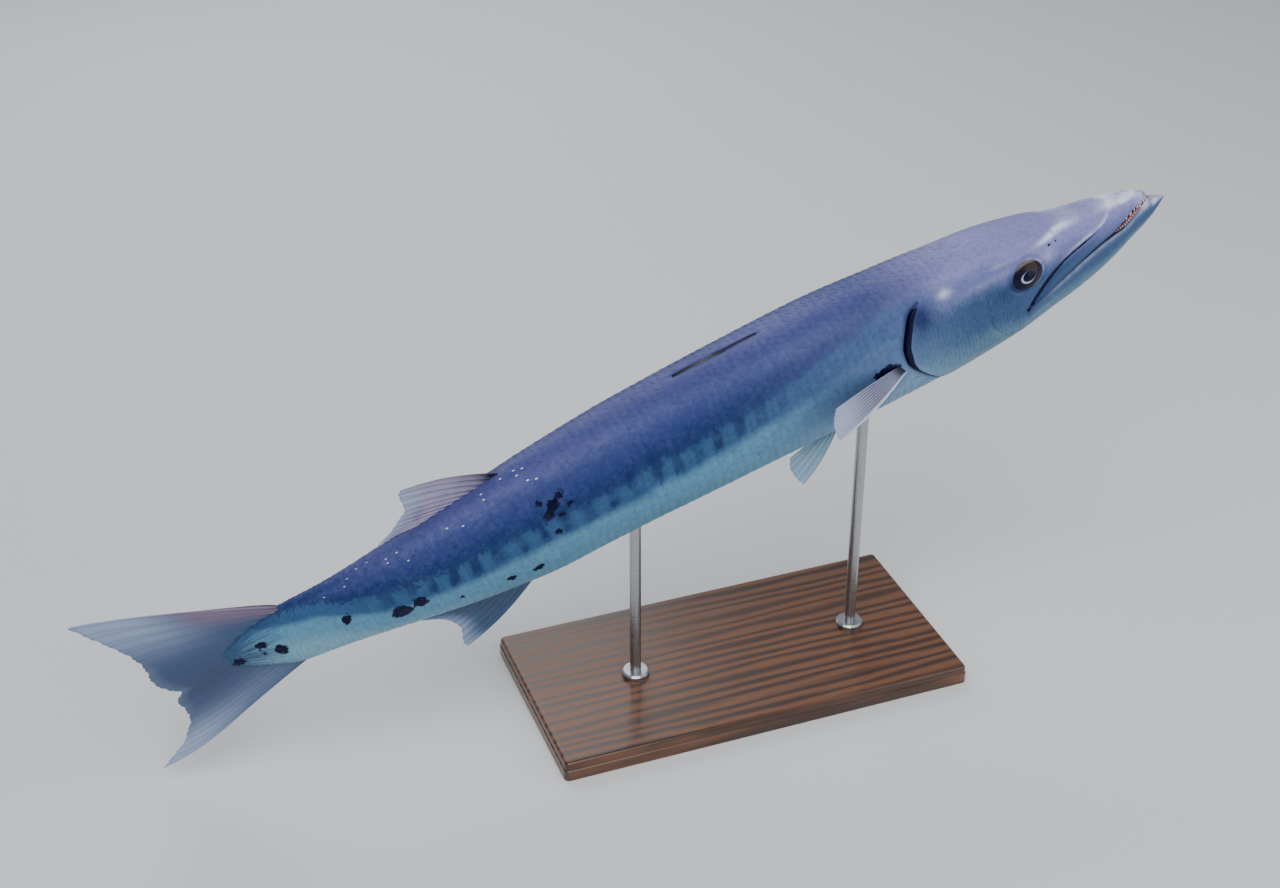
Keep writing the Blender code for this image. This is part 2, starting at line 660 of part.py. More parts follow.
def build_lower_jaw():
    """Lower jaw with its projecting tip, gums and small front teeth."""
    jaw = full_head("lower_jaw")
    combine(jaw, [prism("block", jaw_outline(1, -GAP / 2), BLOCK_REACH)], "INTERSECT")
    gum = full_head("gum", -GUM_INSET, GUM_START)
    stations = np.linspace(GUM_CREST[0], GUM_CREST[1], TUBE_STEPS - 2)
    lip = smooth_curve(stations, GAPE, 1)
    roof = smooth_curve(stations, GAPE, 2)
    crest = list(zip(stations, lip + GUM_RISE * (roof - lip)))
    bed = list(zip(stations[::-1], (lip - GUM_BED)[::-1]))
    combine(gum, [prism("ridge", crest + bed, BLOCK_REACH)], "INTERSECT")
    parts = [gum] + [lip_roll(side, 1, -LIP_RADIUS - GAP, LOWER_LIP) for side in (-1, 1)]
    for side in (-1, 1):
        for s, radius in LOWER_TEETH:
            edge = float(smooth_curve(s, GAPE, 1))
            roof_here = float(smooth_curve(s, GAPE, 2))
            y = side * (side_width(s, edge) - TOOTH_INSET)
            root = np.array([s, y, edge - TOOTH_ROOT_DEPTH])
            tip = np.array([s + TOOTH_LEAN, y, roof_here - TOOTH_CLEARANCE])
            parts.append(cone("tooth", root, tip, radius))
    combine(jaw, parts, "UNION")
    return jaw


def back_strip(heights, half_widths, start, end, rows):
    """Grid along the back: one column for each offset to the side."""
    s = np.linspace(start, end, rows)
    top = smooth_curve(s, BODY, 1)
    s_grid, y_grid = np.meshgrid(s, half_widths, indexing="ij")
    z_grid = top[:, None] + heights
    return np.stack([s_grid, y_grid + sweep(s_grid), z_grid], -1)


def build_first_dorsal():
    """Spines folded flat in the groove, each a low ridge tapering backwards."""
    rows = GROOVE_ROWS
    inner = GROOVE_HALF_WIDTH - GAP
    offsets = np.array([-1.0, -0.55, 0.0, 0.55, 1.0]) * inner
    start = GROOVE[0] + GAP
    end = GROOVE[1] - GAP
    along = np.linspace(0, 1, rows)
    lift = SPINE_RISE * np.sin(math.pi * np.clip(along * 1.02, 0, 1)) ** 0.6
    beat = SPINE_BEAT * np.abs(np.sin(SPINE_COUNT * math.pi * along))
    heights = np.stack([lift * 0.2, lift + beat, lift * 0.35, lift + SPINE_BEAT - beat, lift * 0.2], -1)
    upper = back_strip(heights, offsets, start, end, rows)
    floor = -(GROOVE_DEPTH - GAP) + 0 * heights
    lower = back_strip(floor, offsets, start, end, rows)
    return slab("dorsal_fin_1", upper, lower)


def trunk_length(name, start, end):
    """One length of the trunk, half the gap short at both ends."""
    stations = np.linspace(start + GAP / 2, end - GAP / 2, TRUNK_ROWS[name])
    return ring_solid(name, stations, TRUNK_SIDES)


def build_front_trunk():
    """Front of the trunk with the groove of the first dorsal fin."""
    trunk = trunk_length("trunk_front", HEAD_END, FRONT_TRUNK_END)
    offsets = np.array([-1.0, 1.0]) * GROOVE_HALF_WIDTH
    level = np.zeros((GROOVE_ROWS, 2))
    above = back_strip(level + GROOVE_CUT_RISE, offsets, GROOVE[0], GROOVE[1], GROOVE_ROWS)
    below = back_strip(level - GROOVE_DEPTH, offsets, GROOVE[0], GROOVE[1], GROOVE_ROWS)
    return combine(trunk, [slab("groove", above, below)], "DIFFERENCE")


def fan(root, margin, bulge_first, bulge_last, rays, rows, reach=0.0):
    """Middle surface of a fin: two columns for each ray, fanned from root to margin.

    root and margin are curves of points in the share 0 to 1 across the fin; the first
    and last rays bow out by their bulge and those between by less.
    """
    u = np.linspace(0, 1, 2 * rays - 1)
    v = np.linspace(0, 1, rows)
    a = root(u)
    b = margin(u)
    start = -reach / np.maximum(np.linalg.norm(b - a, axis=1), 1e-6)
    v = start[:, None] + (1 - start[:, None]) * v[None, :]
    bow = np.clip(v, 0, 1)
    grid = a[:, None] * (1 - v[..., None]) + b[:, None] * v[..., None]
    first = (1 - u)[:, None] ** 3
    last = u[:, None] ** 3
    grid = grid + (first * np.sin(math.pi * bow) ** bulge_first[1])[..., None] * bulge_first[0]
    grid = grid + (last * np.sin(math.pi * bow) ** bulge_last[1])[..., None] * bulge_last[0]
    return grid, u, v


def ray_thickness(u, v, root=RAY_ROOT):
    """Half thickness of a fin: ridges on the rays, thin skin between them."""
    ray = (np.arange(len(u)) % 2 == 0)[:, None]
    out = np.clip(v, 0, 1)
    ridge = root + (RAY_TIP - root) * out ** 0.8
    web = WEB + (root * 0.7 - WEB) * np.clip(1 - out * 3.0, 0, 1) ** 2
    thick = np.where(ray, ridge, web)
    rim = np.clip((1 - out) * 9, 0, 1)
    return MARGIN + (thick - MARGIN) * rim


def curve_points(knots):
    """A curve of points through knots (share, s, z) in the middle plane of the body."""
    knots = np.array(knots, float)

    def at(u):
        s = smooth_curve(u, knots, 1)
        return np.stack([s, sweep(s), smooth_curve(u, knots, 2)], -1)
    return at


def median_slab(name, grid, thick):
    """Closed fin standing in the middle plane of the swept body."""
    grid = grid.copy()
    grid[..., 1] = sweep(grid[..., 0])
    shift = np.zeros_like(grid)
    shift[..., 1] = thick
    return slab(name, grid - shift, grid + shift)


def build_second_dorsal():
    """Short soft fin on the back, its last ray drawn out behind."""
    def root(u):
        s = DORSAL_ROOT[0] + (DORSAL_ROOT[1] - DORSAL_ROOT[0]) * u
        return np.stack([s, sweep(s), smooth_curve(s, BODY, 1) + GAP * 1.3], -1)
    first = (np.array([0.0, 0.0, DORSAL_BULGE[0]]), 0.8)
    last = (np.array([0.0, 0.0, DORSAL_BULGE[1]]), 1.0)
    grid, u, v = fan(root, curve_points(DORSAL_MARGIN), first, last, FIN_RAYS, FIN_ROWS)
    return median_slab("dorsal_fin_2", grid, ray_thickness(u, v))


def build_anal():
    """Fin under the tail, the mirror in form of the second dorsal fin."""
    def root(u):
        s = ANAL_ROOT[0] + (ANAL_ROOT[1] - ANAL_ROOT[0]) * u
        return np.stack([s, sweep(s), -smooth_curve(s, BODY, 2) - GAP * 1.3], -1)
    first = (np.array([0.0, 0.0, ANAL_BULGE[0]]), 0.9)
    last = (np.array([0.0, 0.0, ANAL_BULGE[1]]), 1.0)
    grid, u, v = fan(root, curve_points(ANAL_MARGIN), first, last, FIN_RAYS, FIN_ROWS)
    return median_slab("anal_fin", grid, ray_thickness(u, v))


def build_tail_lobe(name, first, last):
    """One lobe of the forked tail fin, between two shares of its height from below to above.

    The fleshy root of both lobes together matches the end of the body; the parting runs
    from the middle of the root to the fork.
    """
    centre, half_height, width, _ = section(PEDUNCLE_END)
    margin = curve_points(TAIL_MARGIN)
    rays = round((last - first) * TAIL_RAYS) + 1
    u = np.linspace(first, last, 2 * rays - 1)
    v = np.linspace(0, 1, TAIL_ROWS) ** 1.15
    level = -np.cos(math.pi * (TAIL_TURN + (1 - 2 * TAIL_TURN) * u)) / math.cos(math.pi * TAIL_TURN)
    s = np.full_like(u, PEDUNCLE_END + GAP / 2)
    root = np.stack([s, sweep(s), centre + half_height * level], -1)
    grid = root[:, None] * (1 - v[None, :, None]) + margin(u)[:, None] * v[None, :, None]
    lower = (1 - u)[:, None] ** 4 * np.sin(math.pi * v[None, :] ** 2)
    upper = u[:, None] ** 4 * np.sin(math.pi * v[None, :]) ** 0.6
    grid[..., 2] += TAIL_BULGE[0] * upper - TAIL_BULGE[1] * lower
    grid[0, :, 2] += GAP / 2 if first > 0 else 0.0
    grid[-1, :, 2] -= GAP / 2 if last < 1 else 0.0
    flesh = np.sqrt(np.clip(1 - level ** 2, 0.0009, 1))[:, None]
    fade = np.clip(1 - (grid[..., 0] - PEDUNCLE_END) / TAIL_FLESH, 0, 1) ** 1.5
    thick = ray_thickness(u, np.broadcast_to(v, (len(u), TAIL_ROWS)), TAIL_RAY_ROOT)
    thick = np.maximum(thick, width * flesh * fade + thick * 0.35)
    thick[:, 0] = width * flesh[:, 0]
    return median_slab(name, grid, thick)


def paired_slab(name, grid, thick, side):
    """Closed fin on one side, thickened along its own normals; drawn for the right side."""
    du = np.gradient(grid, axis=0)
    dv = np.gradient(grid, axis=1)
    normal = np.cross(du, dv)
    normal /= np.linalg.norm(normal, axis=-1)[..., None]
    upper = grid + normal * thick[..., None]
    lower = grid - normal * thick[..., None]
    mirror = np.array([1.0, -side, 1.0])
    return slab(name, upper * mirror, lower * mirror)


def build_pectoral(name, side):
    """Fin behind the gill cover, spread back, down and away from the body."""
    def root(u):
        s = smooth_curve(u, PECTORAL_ROOT, 1)
        z = smooth_curve(u, PECTORAL_ROOT, 2)
        return np.stack([s, -(side_width(s, z) + ROOT_SINK), z], -1)

    def margin(u):
        s = smooth_curve(u, PECTORAL_MARGIN, 1)
        z = smooth_curve(u, PECTORAL_MARGIN, 2)
        spread = PECTORAL_SPREAD + PECTORAL_BOW * np.sin(math.pi * u) - PECTORAL_SLOPE * (z - PECTORAL_TIP)
        return np.stack([s, -spread, z], -1)
    first = (np.array([0.0, -0.0010, -0.0042]), 0.9)
    last = (np.array([0.0, -0.0010, 0.0016]), 1.0)
    grid, u, v = fan(root, margin, first, last, FIN_RAYS, FIN_ROWS, reach=PECTORAL_OVERLAP)
    fin = paired_slab(name, grid, ray_thickness(u, v, PECTORAL_RAY_ROOT), side)
    body = ring_solid("body", np.linspace(PECTORAL_BODY[0], PECTORAL_BODY[1], 11), TRUNK_SIDES, GAP)
    return combine(fin, [body], "DIFFERENCE")


def build_pelvic(name, side):
    """Small fin under the belly, slanting down and outwards."""
    def root(u):
        s = smooth_curve(u, PELVIC_ROOT, 1)
        y = smooth_curve(u, PELVIC_ROOT, 2)
        centre, half_height, width, power = section(s)
        z = centre - half_height * (1 - np.abs(y / width) ** power) ** (1 / power)
        return np.stack([s, y, z - ROOT_SINK], -1)

    def margin(u):
        return np.stack([smooth_curve(u, PELVIC_MARGIN, k) for k in (1, 2, 3)], -1)
    first = (np.array([0.0, -0.0012, -0.0045]), 0.9)
    last = (np.array([0.0, 0.0, 0.0]), 1.0)
    grid, u, v = fan(root, margin, first, last, PELVIC_RAYS, PELVIC_ROWS, reach=PELVIC_OVERLAP)
    fin = paired_slab(name, grid, ray_thickness(u, v, PELVIC_RAY_ROOT), side)
    body = ring_solid("body", np.linspace(PELVIC_BODY[0], PELVIC_BODY[1], 9), TRUNK_SIDES, GAP)
    return combine(fin, [body], "DIFFERENCE")


def build_base():
    """Flat board with a small chamfer round its upper edge."""
    length, width, height = BASE_SIZE
    levels = [(0.0, 0.0), (height - BASE_CHAMFER, 0.0), (height, BASE_CHAMFER)]
    points = []
    for z, inset in levels:
        x = length / 2 - inset
        y = width / 2 - inset
        points += [(-x, -y, z), (x, -y, z), (x, y, z), (-x, y, z)]
    faces = [(0, 1, 2, 3), (8, 9, 10, 11)]
    for i in range(2):
        for j in range(4):
            k = (j + 1) % 4
            faces.append((i * 4 + j, i * 4 + k, (i + 1) * 4 + k, (i + 1) * 4 + j))
    return add_object("stand_base", np.array(points), faces, body_frame=False)


def build_rod(name, station):
    """Upright rod with a foot collar, its top shaped to the belly."""
    x, belly = belly_above_stand(station)
    bottom = BASE_SIZE[2] + GAP
    profile = [(COLLAR_RADIUS, bottom), (COLLAR_RADIUS, bottom + COLLAR_HEIGHT * 0.7),
               (COLLAR_RADIUS - COLLAR_BEVEL, bottom + COLLAR_HEIGHT), (ROD_RADIUS, bottom + COLLAR_HEIGHT),
               (ROD_RADIUS, belly + ROD_OVERRUN)]
    angle = np.arange(ROD_SIDES) * 2 * math.pi / ROD_SIDES
    points = []
    for radius, z in profile:
        points += [(x + radius * math.cos(a), radius * math.sin(a), z) for a in angle]
    faces = [tuple(range(ROD_SIDES)), tuple((len(profile) - 1) * ROD_SIDES + j for j in range(ROD_SIDES))]
    for i in range(len(profile) - 1):
        for j in range(ROD_SIDES):
            k = (j + 1) % ROD_SIDES
            faces.append((i * ROD_SIDES + j, i * ROD_SIDES + k,
                          (i + 1) * ROD_SIDES + k, (i + 1) * ROD_SIDES + j))
    rod = add_object(name, np.array(points), faces, body_frame=False)
    stations = np.linspace(station - ROD_BODY_REACH, station + ROD_BODY_REACH, 10)
    body = ring_solid("body", stations, TRUNK_SIDES, GAP)
    return combine(rod, [body], "DIFFERENCE")


def main():
    for obj in list(bpy.data.objects):
        bpy.data.objects.remove(obj)

    finish(build_head(), "head")
    finish(build_lower_jaw(), "jaw")
    for word, side in (("right", -1), ("left", 1)):
        finish(gill_cover("gill_cover_" + word, side), "gill")
        finish(eyeball("eye_" + word, side), "eye")
    finish(build_front_trunk(), "trunk_front")
    finish(trunk_length("trunk_rear", FRONT_TRUNK_END, REAR_TRUNK_END), "trunk_rear")
    finish(trunk_length("caudal_peduncle", REAR_TRUNK_END, PEDUNCLE_END), "caudal_peduncle")
    finish(build_first_dorsal(), "fin_dark")
    finish(build_second_dorsal(), "fin_blush")
    finish(build_anal(), "fin_slate")
    finish(build_tail_lobe("caudal_fin_lower", 0.0, TAIL_PARTING), "fin_tail")
    finish(build_tail_lobe("caudal_fin_upper", TAIL_PARTING, 1.0), "fin_tail")
    for word, side in (("right", -1), ("left", 1)):
        finish(build_pectoral("pectoral_fin_" + word, side), "fin_pectoral")
        finish(build_pelvic("pelvic_fin_" + word, side), "fin_pelvic")
    finish(build_base(), "wood")
    for name, station in ROD_STATIONS.items():
        finish(build_rod(name, station), "steel")


main()
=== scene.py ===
"""Great barracuda display model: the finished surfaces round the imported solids.

The fish is worked out in its body frame, in metres, and then placed above the stand:
  s  distance behind the tip of the lower jaw, along the body axis
  y  sideways, positive on the fish's left
  z  upwards from the body axis, towards the back
A place on the body is also given by s and its girth, the share of the half girth from
the back, 0, round the side to the belly, 1.
"""
import math

import bpy
import numpy as np
from mathutils import Matrix, Vector


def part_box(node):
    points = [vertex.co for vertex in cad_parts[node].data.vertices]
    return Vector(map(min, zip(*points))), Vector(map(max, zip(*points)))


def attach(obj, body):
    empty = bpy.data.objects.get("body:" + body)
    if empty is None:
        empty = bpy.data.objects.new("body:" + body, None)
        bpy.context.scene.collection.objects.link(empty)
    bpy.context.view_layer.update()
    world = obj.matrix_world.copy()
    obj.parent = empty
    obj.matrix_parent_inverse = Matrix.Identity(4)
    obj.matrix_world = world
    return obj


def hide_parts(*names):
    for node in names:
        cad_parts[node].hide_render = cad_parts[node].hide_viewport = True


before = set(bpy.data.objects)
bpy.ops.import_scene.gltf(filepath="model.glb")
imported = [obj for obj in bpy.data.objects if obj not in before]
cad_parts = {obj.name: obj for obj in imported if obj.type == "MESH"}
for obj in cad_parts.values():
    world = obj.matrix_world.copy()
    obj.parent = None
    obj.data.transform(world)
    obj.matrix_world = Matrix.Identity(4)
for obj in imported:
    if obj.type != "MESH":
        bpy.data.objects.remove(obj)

bl_info = {
    "name": "Great barracuda display model",
    "version": (1, 0, 0),
    "blender": (4, 5, 0),
    "location": "3D View > Sidebar > Barracuda",
    "description": "Skin, scales, eyes, teeth, fins and stand of a life-size display barracuda",
    "category": "Add Mesh",
}

ROOT = "root"
PITCH = math.radians(17.95)
REFERENCE_STATION = 0.500
REFERENCE_HEIGHT = 0.335

# Body stations: distance behind the jaw tip, back height, belly depth, half width, squareness
BODY = np.array([
    (0.0000, 0.0006, 0.0006, 0.0006, 2.00), (0.0060, 0.0032, 0.0048, 0.0038, 2.05),
    (0.0140, 0.0068, 0.0096, 0.0078, 2.10), (0.0208, 0.0104, 0.0134, 0.0108, 2.20),
    (0.0224, 0.0152, 0.0142, 0.0118, 2.20), (0.0260, 0.0180, 0.0156, 0.0134, 2.25),
    (0.0340, 0.0215, 0.0186, 0.0162, 2.35), (0.0500, 0.0268, 0.0242, 0.0204, 2.50),
    (0.0750, 0.0303, 0.0336, 0.0256, 2.75), (0.1020, 0.0340, 0.0416, 0.0301, 2.90),
    (0.1300, 0.0404, 0.0476, 0.0351, 2.90), (0.1600, 0.0501, 0.0520, 0.0406, 2.90),
    (0.2000, 0.0573, 0.0592, 0.0463, 2.83), (0.2550, 0.0619, 0.0648, 0.0508, 2.70),
    (0.3200, 0.0673, 0.0668, 0.0535, 2.65), (0.4100, 0.0719, 0.0680, 0.0553, 2.60),
    (0.5100, 0.0706, 0.0693, 0.0545, 2.47), (0.6100, 0.0680, 0.0710, 0.0523, 2.30),
    (0.7150, 0.0655, 0.0721, 0.0470, 2.06), (0.8000, 0.0585, 0.0625, 0.0404, 2.00),
    (0.8800, 0.0470, 0.0500, 0.0315, 2.00), (0.9500, 0.0358, 0.0432, 0.0228, 2.00),
    (1.0000, 0.0304, 0.0412, 0.0188, 2.00), (1.0200, 0.0262, 0.0366, 0.0142, 2.00),
    (1.0400, 0.0184, 0.0296, 0.0092, 2.00), (1.0560, 0.0098, 0.0216, 0.0054, 2.00),
    (1.0660, 0.0030, 0.0150, 0.0026, 2.00), (1.0700, -0.0020, 0.0100, 0.0010, 2.00),
])
SWEEP = np.array([(0.0, 0.0), (0.60, 0.0), (0.85, -0.015), (1.03, 0.0), (1.20, 0.030)])
PEDUNCLE_END = 1.000
FLESH_END = 1.070

# Mouth: station, upper edge of the lower jaw, lower edge of the upper jaw
GAPE = np.array([
    (-0.010, 0.0129, 0.0141), (0.0225, 0.0129, 0.0141), (0.0290, 0.0123, 0.0142),
    (0.0383, 0.0101, 0.0144), (0.0450, 0.0086, 0.0143), (0.0525, 0.0056, 0.0126),
    (0.0630, 0.0034, 0.0078), (0.0740, 0.0029, 0.0044), (0.0900, 0.0017, 0.0020),
    (0.1063, -0.0011, -0.0008), (0.1221, -0.0044, -0.0041), (0.1400, -0.0083, -0.0080),
    (0.1909, -0.0198, -0.0195), (0.2300, -0.0270, -0.0267),
])
GAPE_START = 0.0216
GAPE_END = 0.1960
# Upper edge of the jaw plate on the cheek: station, height
JAW_PLATE = np.array([
    (0.0600, 0.0262), (0.0710, 0.0240), (0.0820, 0.0178), (0.0980, 0.0144), (0.1205, 0.0118),
    (0.1420, 0.0078), (0.1600, 0.0008), (0.1780, -0.0100), (0.1885, -0.0182), (0.1920, -0.0225),
])
# Ridge from the eye to the tip of the snout: station, height
BROW = np.array([
    (0.0300, 0.0193), (0.0404, 0.0231), (0.0642, 0.0272), (0.0925, 0.0309), (0.1213, 0.0355),
    (0.1392, 0.0383), (0.1571, 0.0389), (0.1855, 0.0400), (0.2100, 0.0420),
])
# Rear edge of the cheek's front bone: station, height
CHEEK_BONE = np.array([
    (0.2060, -0.0500), (0.2200, -0.0400), (0.2335, -0.0200), (0.2375, 0.0), (0.2330, 0.0220),
])

EYE = (0.1855, 0.0184)
ORBIT = (0.0172, 0.0135)
EYE_RADII = (0.0200, 0.0170, 0.0084)
EYE_SINK = 0.0046
PUPIL = 0.43
# Nostrils: station, height, half length, half height
NOSTRILS = [(0.1513, 0.0330, 0.0025, 0.0012), (0.1425, 0.0322, 0.0014, 0.0011)]

# Gill cover: angle from the back in degrees, read at the gill section, and rear edge station
GILL_EDGE = np.array([
    (50.0, 0.3030), (55.4, 0.3130), (63.2, 0.3197), (72.9, 0.3252), (82.3, 0.3302),
    (88.5, 0.3326), (94.7, 0.3316), (102.1, 0.3266), (113.0, 0.3172), (126.3, 0.3064),
    (140.0, 0.2920), (152.0, 0.2740), (164.0, 0.2460),
])
GILL_SECTION = 0.31
# Straight row that stands for the gill cover's edge, and the stretch of rows bent to meet it
GILL_STATION = 0.3326
GILL_REACH = (0.2050, 0.4600)
GILL_SWELLING = 0.0011
# Fold of the gill cover's free edge: step behind the edge and height over the body
GILL_FOLD = np.array([
    (-0.0060, 0.0011), (-0.0036, 0.0014), (-0.0018, 0.0015), (-0.0008, 0.0014), (-0.0002, 0.0010),
    (0.0000, 0.0004), (-0.0004, -0.0002), (-0.0016, -0.0006), (-0.0034, -0.0010), (-0.0042, -0.0020),
    (-0.0034, -0.0030), (-0.0012, -0.0034), (0.0012, -0.0031), (0.0036, -0.0023), (0.0062, -0.0013),
    (0.0090, -0.0006), (0.0120, -0.0001),
])

# Lateral line: station, height
LATERAL_LINE = np.array([
    (0.3000, 0.0470), (0.3668, 0.0383), (0.3864, 0.0336), (0.4356, 0.0224), (0.4848, 0.0141),
    (0.5827, 0.0029), (0.6811, -0.0016), (0.7782, -0.0021), (0.8745, -0.0035), (0.9229, -0.0056),
    (0.9708, -0.0032), (1.0300, -0.0035),
])
# Rise of the pale flank's upper edge over the lateral line towards the tail: station, height
PALE_RISE = np.array([
    (0.30, 0.0), (0.865, 0.0), (0.900, 0.0050), (0.940, 0.0150), (0.975, 0.0230), (1.070, 0.0280),
])
# Groove of the folded first back fin: first and last station, half width, depth
GROOVE = (0.456, 0.554)
GROOVE_HALF_WIDTH = 0.0030
GROOVE_DEPTH = 0.0022
MUSCLE_BAND = 0.0135

# Black blotches on the right side: station, height, half length, half height
BLOTCHES = [
    (0.7161, 0.0276, 0.0065, 0.0058), (0.7060, 0.0330, 0.0052, 0.0042), (0.7245, 0.0200, 0.0048, 0.0048),
    (0.7120, 0.0150, 0.0038, 0.0033), (0.7285, 0.0345, 0.0034, 0.0038), (0.7010, 0.0215, 0.0034, 0.0030),
    (0.7220, -0.0019, 0.0042, 0.0036), (0.7528, -0.0353, 0.0055, 0.0043), (0.7812, -0.0312, 0.0055, 0.0040),
    (0.8324, -0.0262, 0.0022, 0.0022), (0.8708, -0.0088, 0.0084, 0.0062), (0.8916, -0.0131, 0.0105, 0.0076),
    (0.9421, 0.0009, 0.0045, 0.0064), (1.0120, -0.0080, 0.0058, 0.0072), (1.0280, 0.0020, 0.0050, 0.0046),
    (1.0290, -0.0090, 0.0020, 0.0020), (1.0560, -0.0120, 0.0062, 0.0050),
]
# Black skin behind the root of the side fin, on both sides
AXIL = (0.3565, -0.0060, 0.0150, 0.0080)
# Spread of each blotch's shift on the left side: along, up
LEFT_SHIFT = np.array([0.0098, 0.0042])
BLOTCH_SEED = 12
# Distance that stands for far outside a marking or line
FAR = 0.02


def smooth_curve(x, knots, column=1):
    """Monotone cubic through the knots: no overshoot between them."""
    x = np.asarray(x, float)
    xk = knots[:, 0]
    yk = knots[:, column]
    step = np.diff(xk)
    slope = np.diff(yk) / step
    tangent = np.zeros(len(xk))
    tangent[0] = slope[0]
    tangent[-1] = slope[-1]
    w1 = 2 * step[1:] + step[:-1]
    w2 = step[1:] + 2 * step[:-1]
    same = slope[:-1] * slope[1:] > 0
    safe0 = np.where(same, slope[:-1], 1.0)
    safe1 = np.where(same, slope[1:], 1.0)
    tangent[1:-1] = np.where(same, (w1 + w2) / (w1 / safe0 + w2 / safe1), 0.0)
    x = np.clip(x, xk[0], xk[-1])
    i = np.clip(np.searchsorted(xk, x) - 1, 0, len(step) - 1)
    t = (x - xk[i]) / step[i]
    start = (1 + 2 * t) * (1 - t) ** 2 * yk[i] + t * (1 - t) ** 2 * step[i] * tangent[i]
    end = t * t * (3 - 2 * t) * yk[i + 1] + t * t * (t - 1) * step[i] * tangent[i + 1]
    return start + end


def ease(x, low, high):
    """0 below low, 1 above high and a smooth S between."""
    t = np.clip((x - low) / (high - low), 0, 1)
    return t * t * (3 - 2 * t)


def span(x, low, full, fall, end):
    """0 up to low, 1 from full to fall, 0 from the end on, and a smooth S between."""
    return ease(x, low, full) * (1 - ease(x, fall, end))


def bell(x, width):
    """Bell curve: 1 at 0, about a third at the width."""
    return np.exp(-(x / width) ** 2)


def ripple(*coordinates, seed):
    """Soft random wave between about -1 and 1: a sum of sines in seeded directions."""
    rng = np.random.default_rng(seed)
    total = 0.0
    size = 1.0
    weight = 0.0
    for _ in range(3):
        for _ in range(3):
            turn = rng.normal(size=len(coordinates)) * size
            phase = rng.uniform(0, 2 * math.pi)
            reach = sum(c * t for c, t in zip(coordinates, turn))
            total = total + np.sin(reach * 2 * math.pi + phase) / size
            weight += 1 / size
        size *= 2.0
    return total / weight * 1.7


def place(points):
    """Body frame to the shared frame: turned nose-up about the reference station."""
    ahead = REFERENCE_STATION - points[..., 0]
    z = points[..., 2]
    return np.stack([ahead * math.cos(PITCH) - z * math.sin(PITCH), points[..., 1],
                     REFERENCE_HEIGHT + ahead * math.sin(PITCH) + z * math.cos(PITCH)], -1)


def section(s):
    """Centre height, half height, half width and squareness of the body section at s."""
    top = smooth_curve(s, BODY, 1)
    belly = smooth_curve(s, BODY, 2)
    return (top - belly) / 2, (top + belly) / 2, smooth_curve(s, BODY, 3), smooth_curve(s, BODY, 4)


def section_point(s, angle):
    """Superellipse section: half width and height at an angle from the back."""
    centre, half_height, width, power = section(s)
    c = np.cos(angle)
    y = width * np.abs(np.sin(angle)) ** (2 / power)
    return y, centre + half_height * np.sign(c) * np.abs(c) ** (2 / power)


def angle_at(s, z):
    """Angle of the section's point at height z."""
    centre, half_height, _, power = section(s)
    ratio = np.clip((z - centre) / half_height, -1, 1)
    return np.arccos(np.clip(np.sign(ratio) * np.abs(ratio) ** (power / 2), -1, 1))


def side_width(s, z):
    """Half width of the body at station s and height z."""
    centre, half_height, width, power = section(s)
    ratio = np.clip(np.abs((z - centre) / half_height), 0, 1)
    return width * (1 - ratio ** power) ** (1 / power)


class GirthTable:
    """Angle for a share of the half girth, and the other way round, on a fine grid."""
    stations = 700
    steps = 720

    def __init__(self):
        self.s = np.linspace(0, FLESH_END, self.stations)
        self.angle = np.linspace(0, math.pi, self.steps + 1)
        y, z = section_point(self.s[:, None], self.angle[None, :])
        run = np.cumsum(np.hypot(np.diff(y, axis=1), np.diff(z, axis=1)), axis=1)
        self.share = np.concatenate([np.zeros((len(self.s), 1)), run / run[:, -1:]], axis=1)
        even = np.linspace(0, 1, self.steps + 1)
        self.turned = np.stack([np.interp(even, row, self.angle) for row in self.share])

    def read(self, table, s, x):
        """Bilinear reading of a table at stations s and 0 to 1 places x."""
        s, x = np.broadcast_arrays(np.asarray(s, float), np.asarray(x, float))
        fi = np.clip(s / FLESH_END, 0, 1) * (self.stations - 1)
        fj = np.clip(x, 0, 1) * self.steps
        i = np.minimum(fi.astype(int), self.stations - 2)
        j = np.minimum(fj.astype(int), self.steps - 1)
        a = fi - i
        b = fj - j
        low = table[i, j] * (1 - b) + table[i, j + 1] * b
        high = table[i + 1, j] * (1 - b) + table[i + 1, j + 1] * b
        return low * (1 - a) + high * a

    def angle_of(self, s, girth):
        """Angle from the back at a girth."""
        return self.read(self.turned, s, girth)

    def girth_of(self, s, angle):
        """Girth at an angle from the back."""
        return self.read(self.share, s, angle / math.pi)

    def girth_at(self, s, z):
        """Girth at a height over the body axis."""
        return self.girth_of(s, angle_at(s, z))


GIRTH = GirthTable()
GILL_GIRTH = np.stack([GIRTH.girth_of(GILL_SECTION, np.radians(GILL_EDGE[:, 0])), GILL_EDGE[:, 1]], -1)
GILL_TOP = GILL_GIRTH[0, 0]
GILL_FOOT = GILL_GIRTH[-1, 0]


def gill_edge(girth):
    """Station of the gill cover's rear edge at a girth."""
    return smooth_curve(girth, GILL_GIRTH)


def gill_open(girth):
    """1 where the gill cover's edge is free, fading to 0 above and below."""
    return span(girth, GILL_TOP - 0.03, GILL_TOP + 0.03, GILL_FOOT - 0.02, GILL_FOOT + 0.03)


def bare_point(s, girth):
    """Point of the smooth body, right half, y counted outwards."""
    y, z = section_point(s, GIRTH.angle_of(s, girth))
    return np.stack(np.broadcast_arrays(s, y, z), -1)


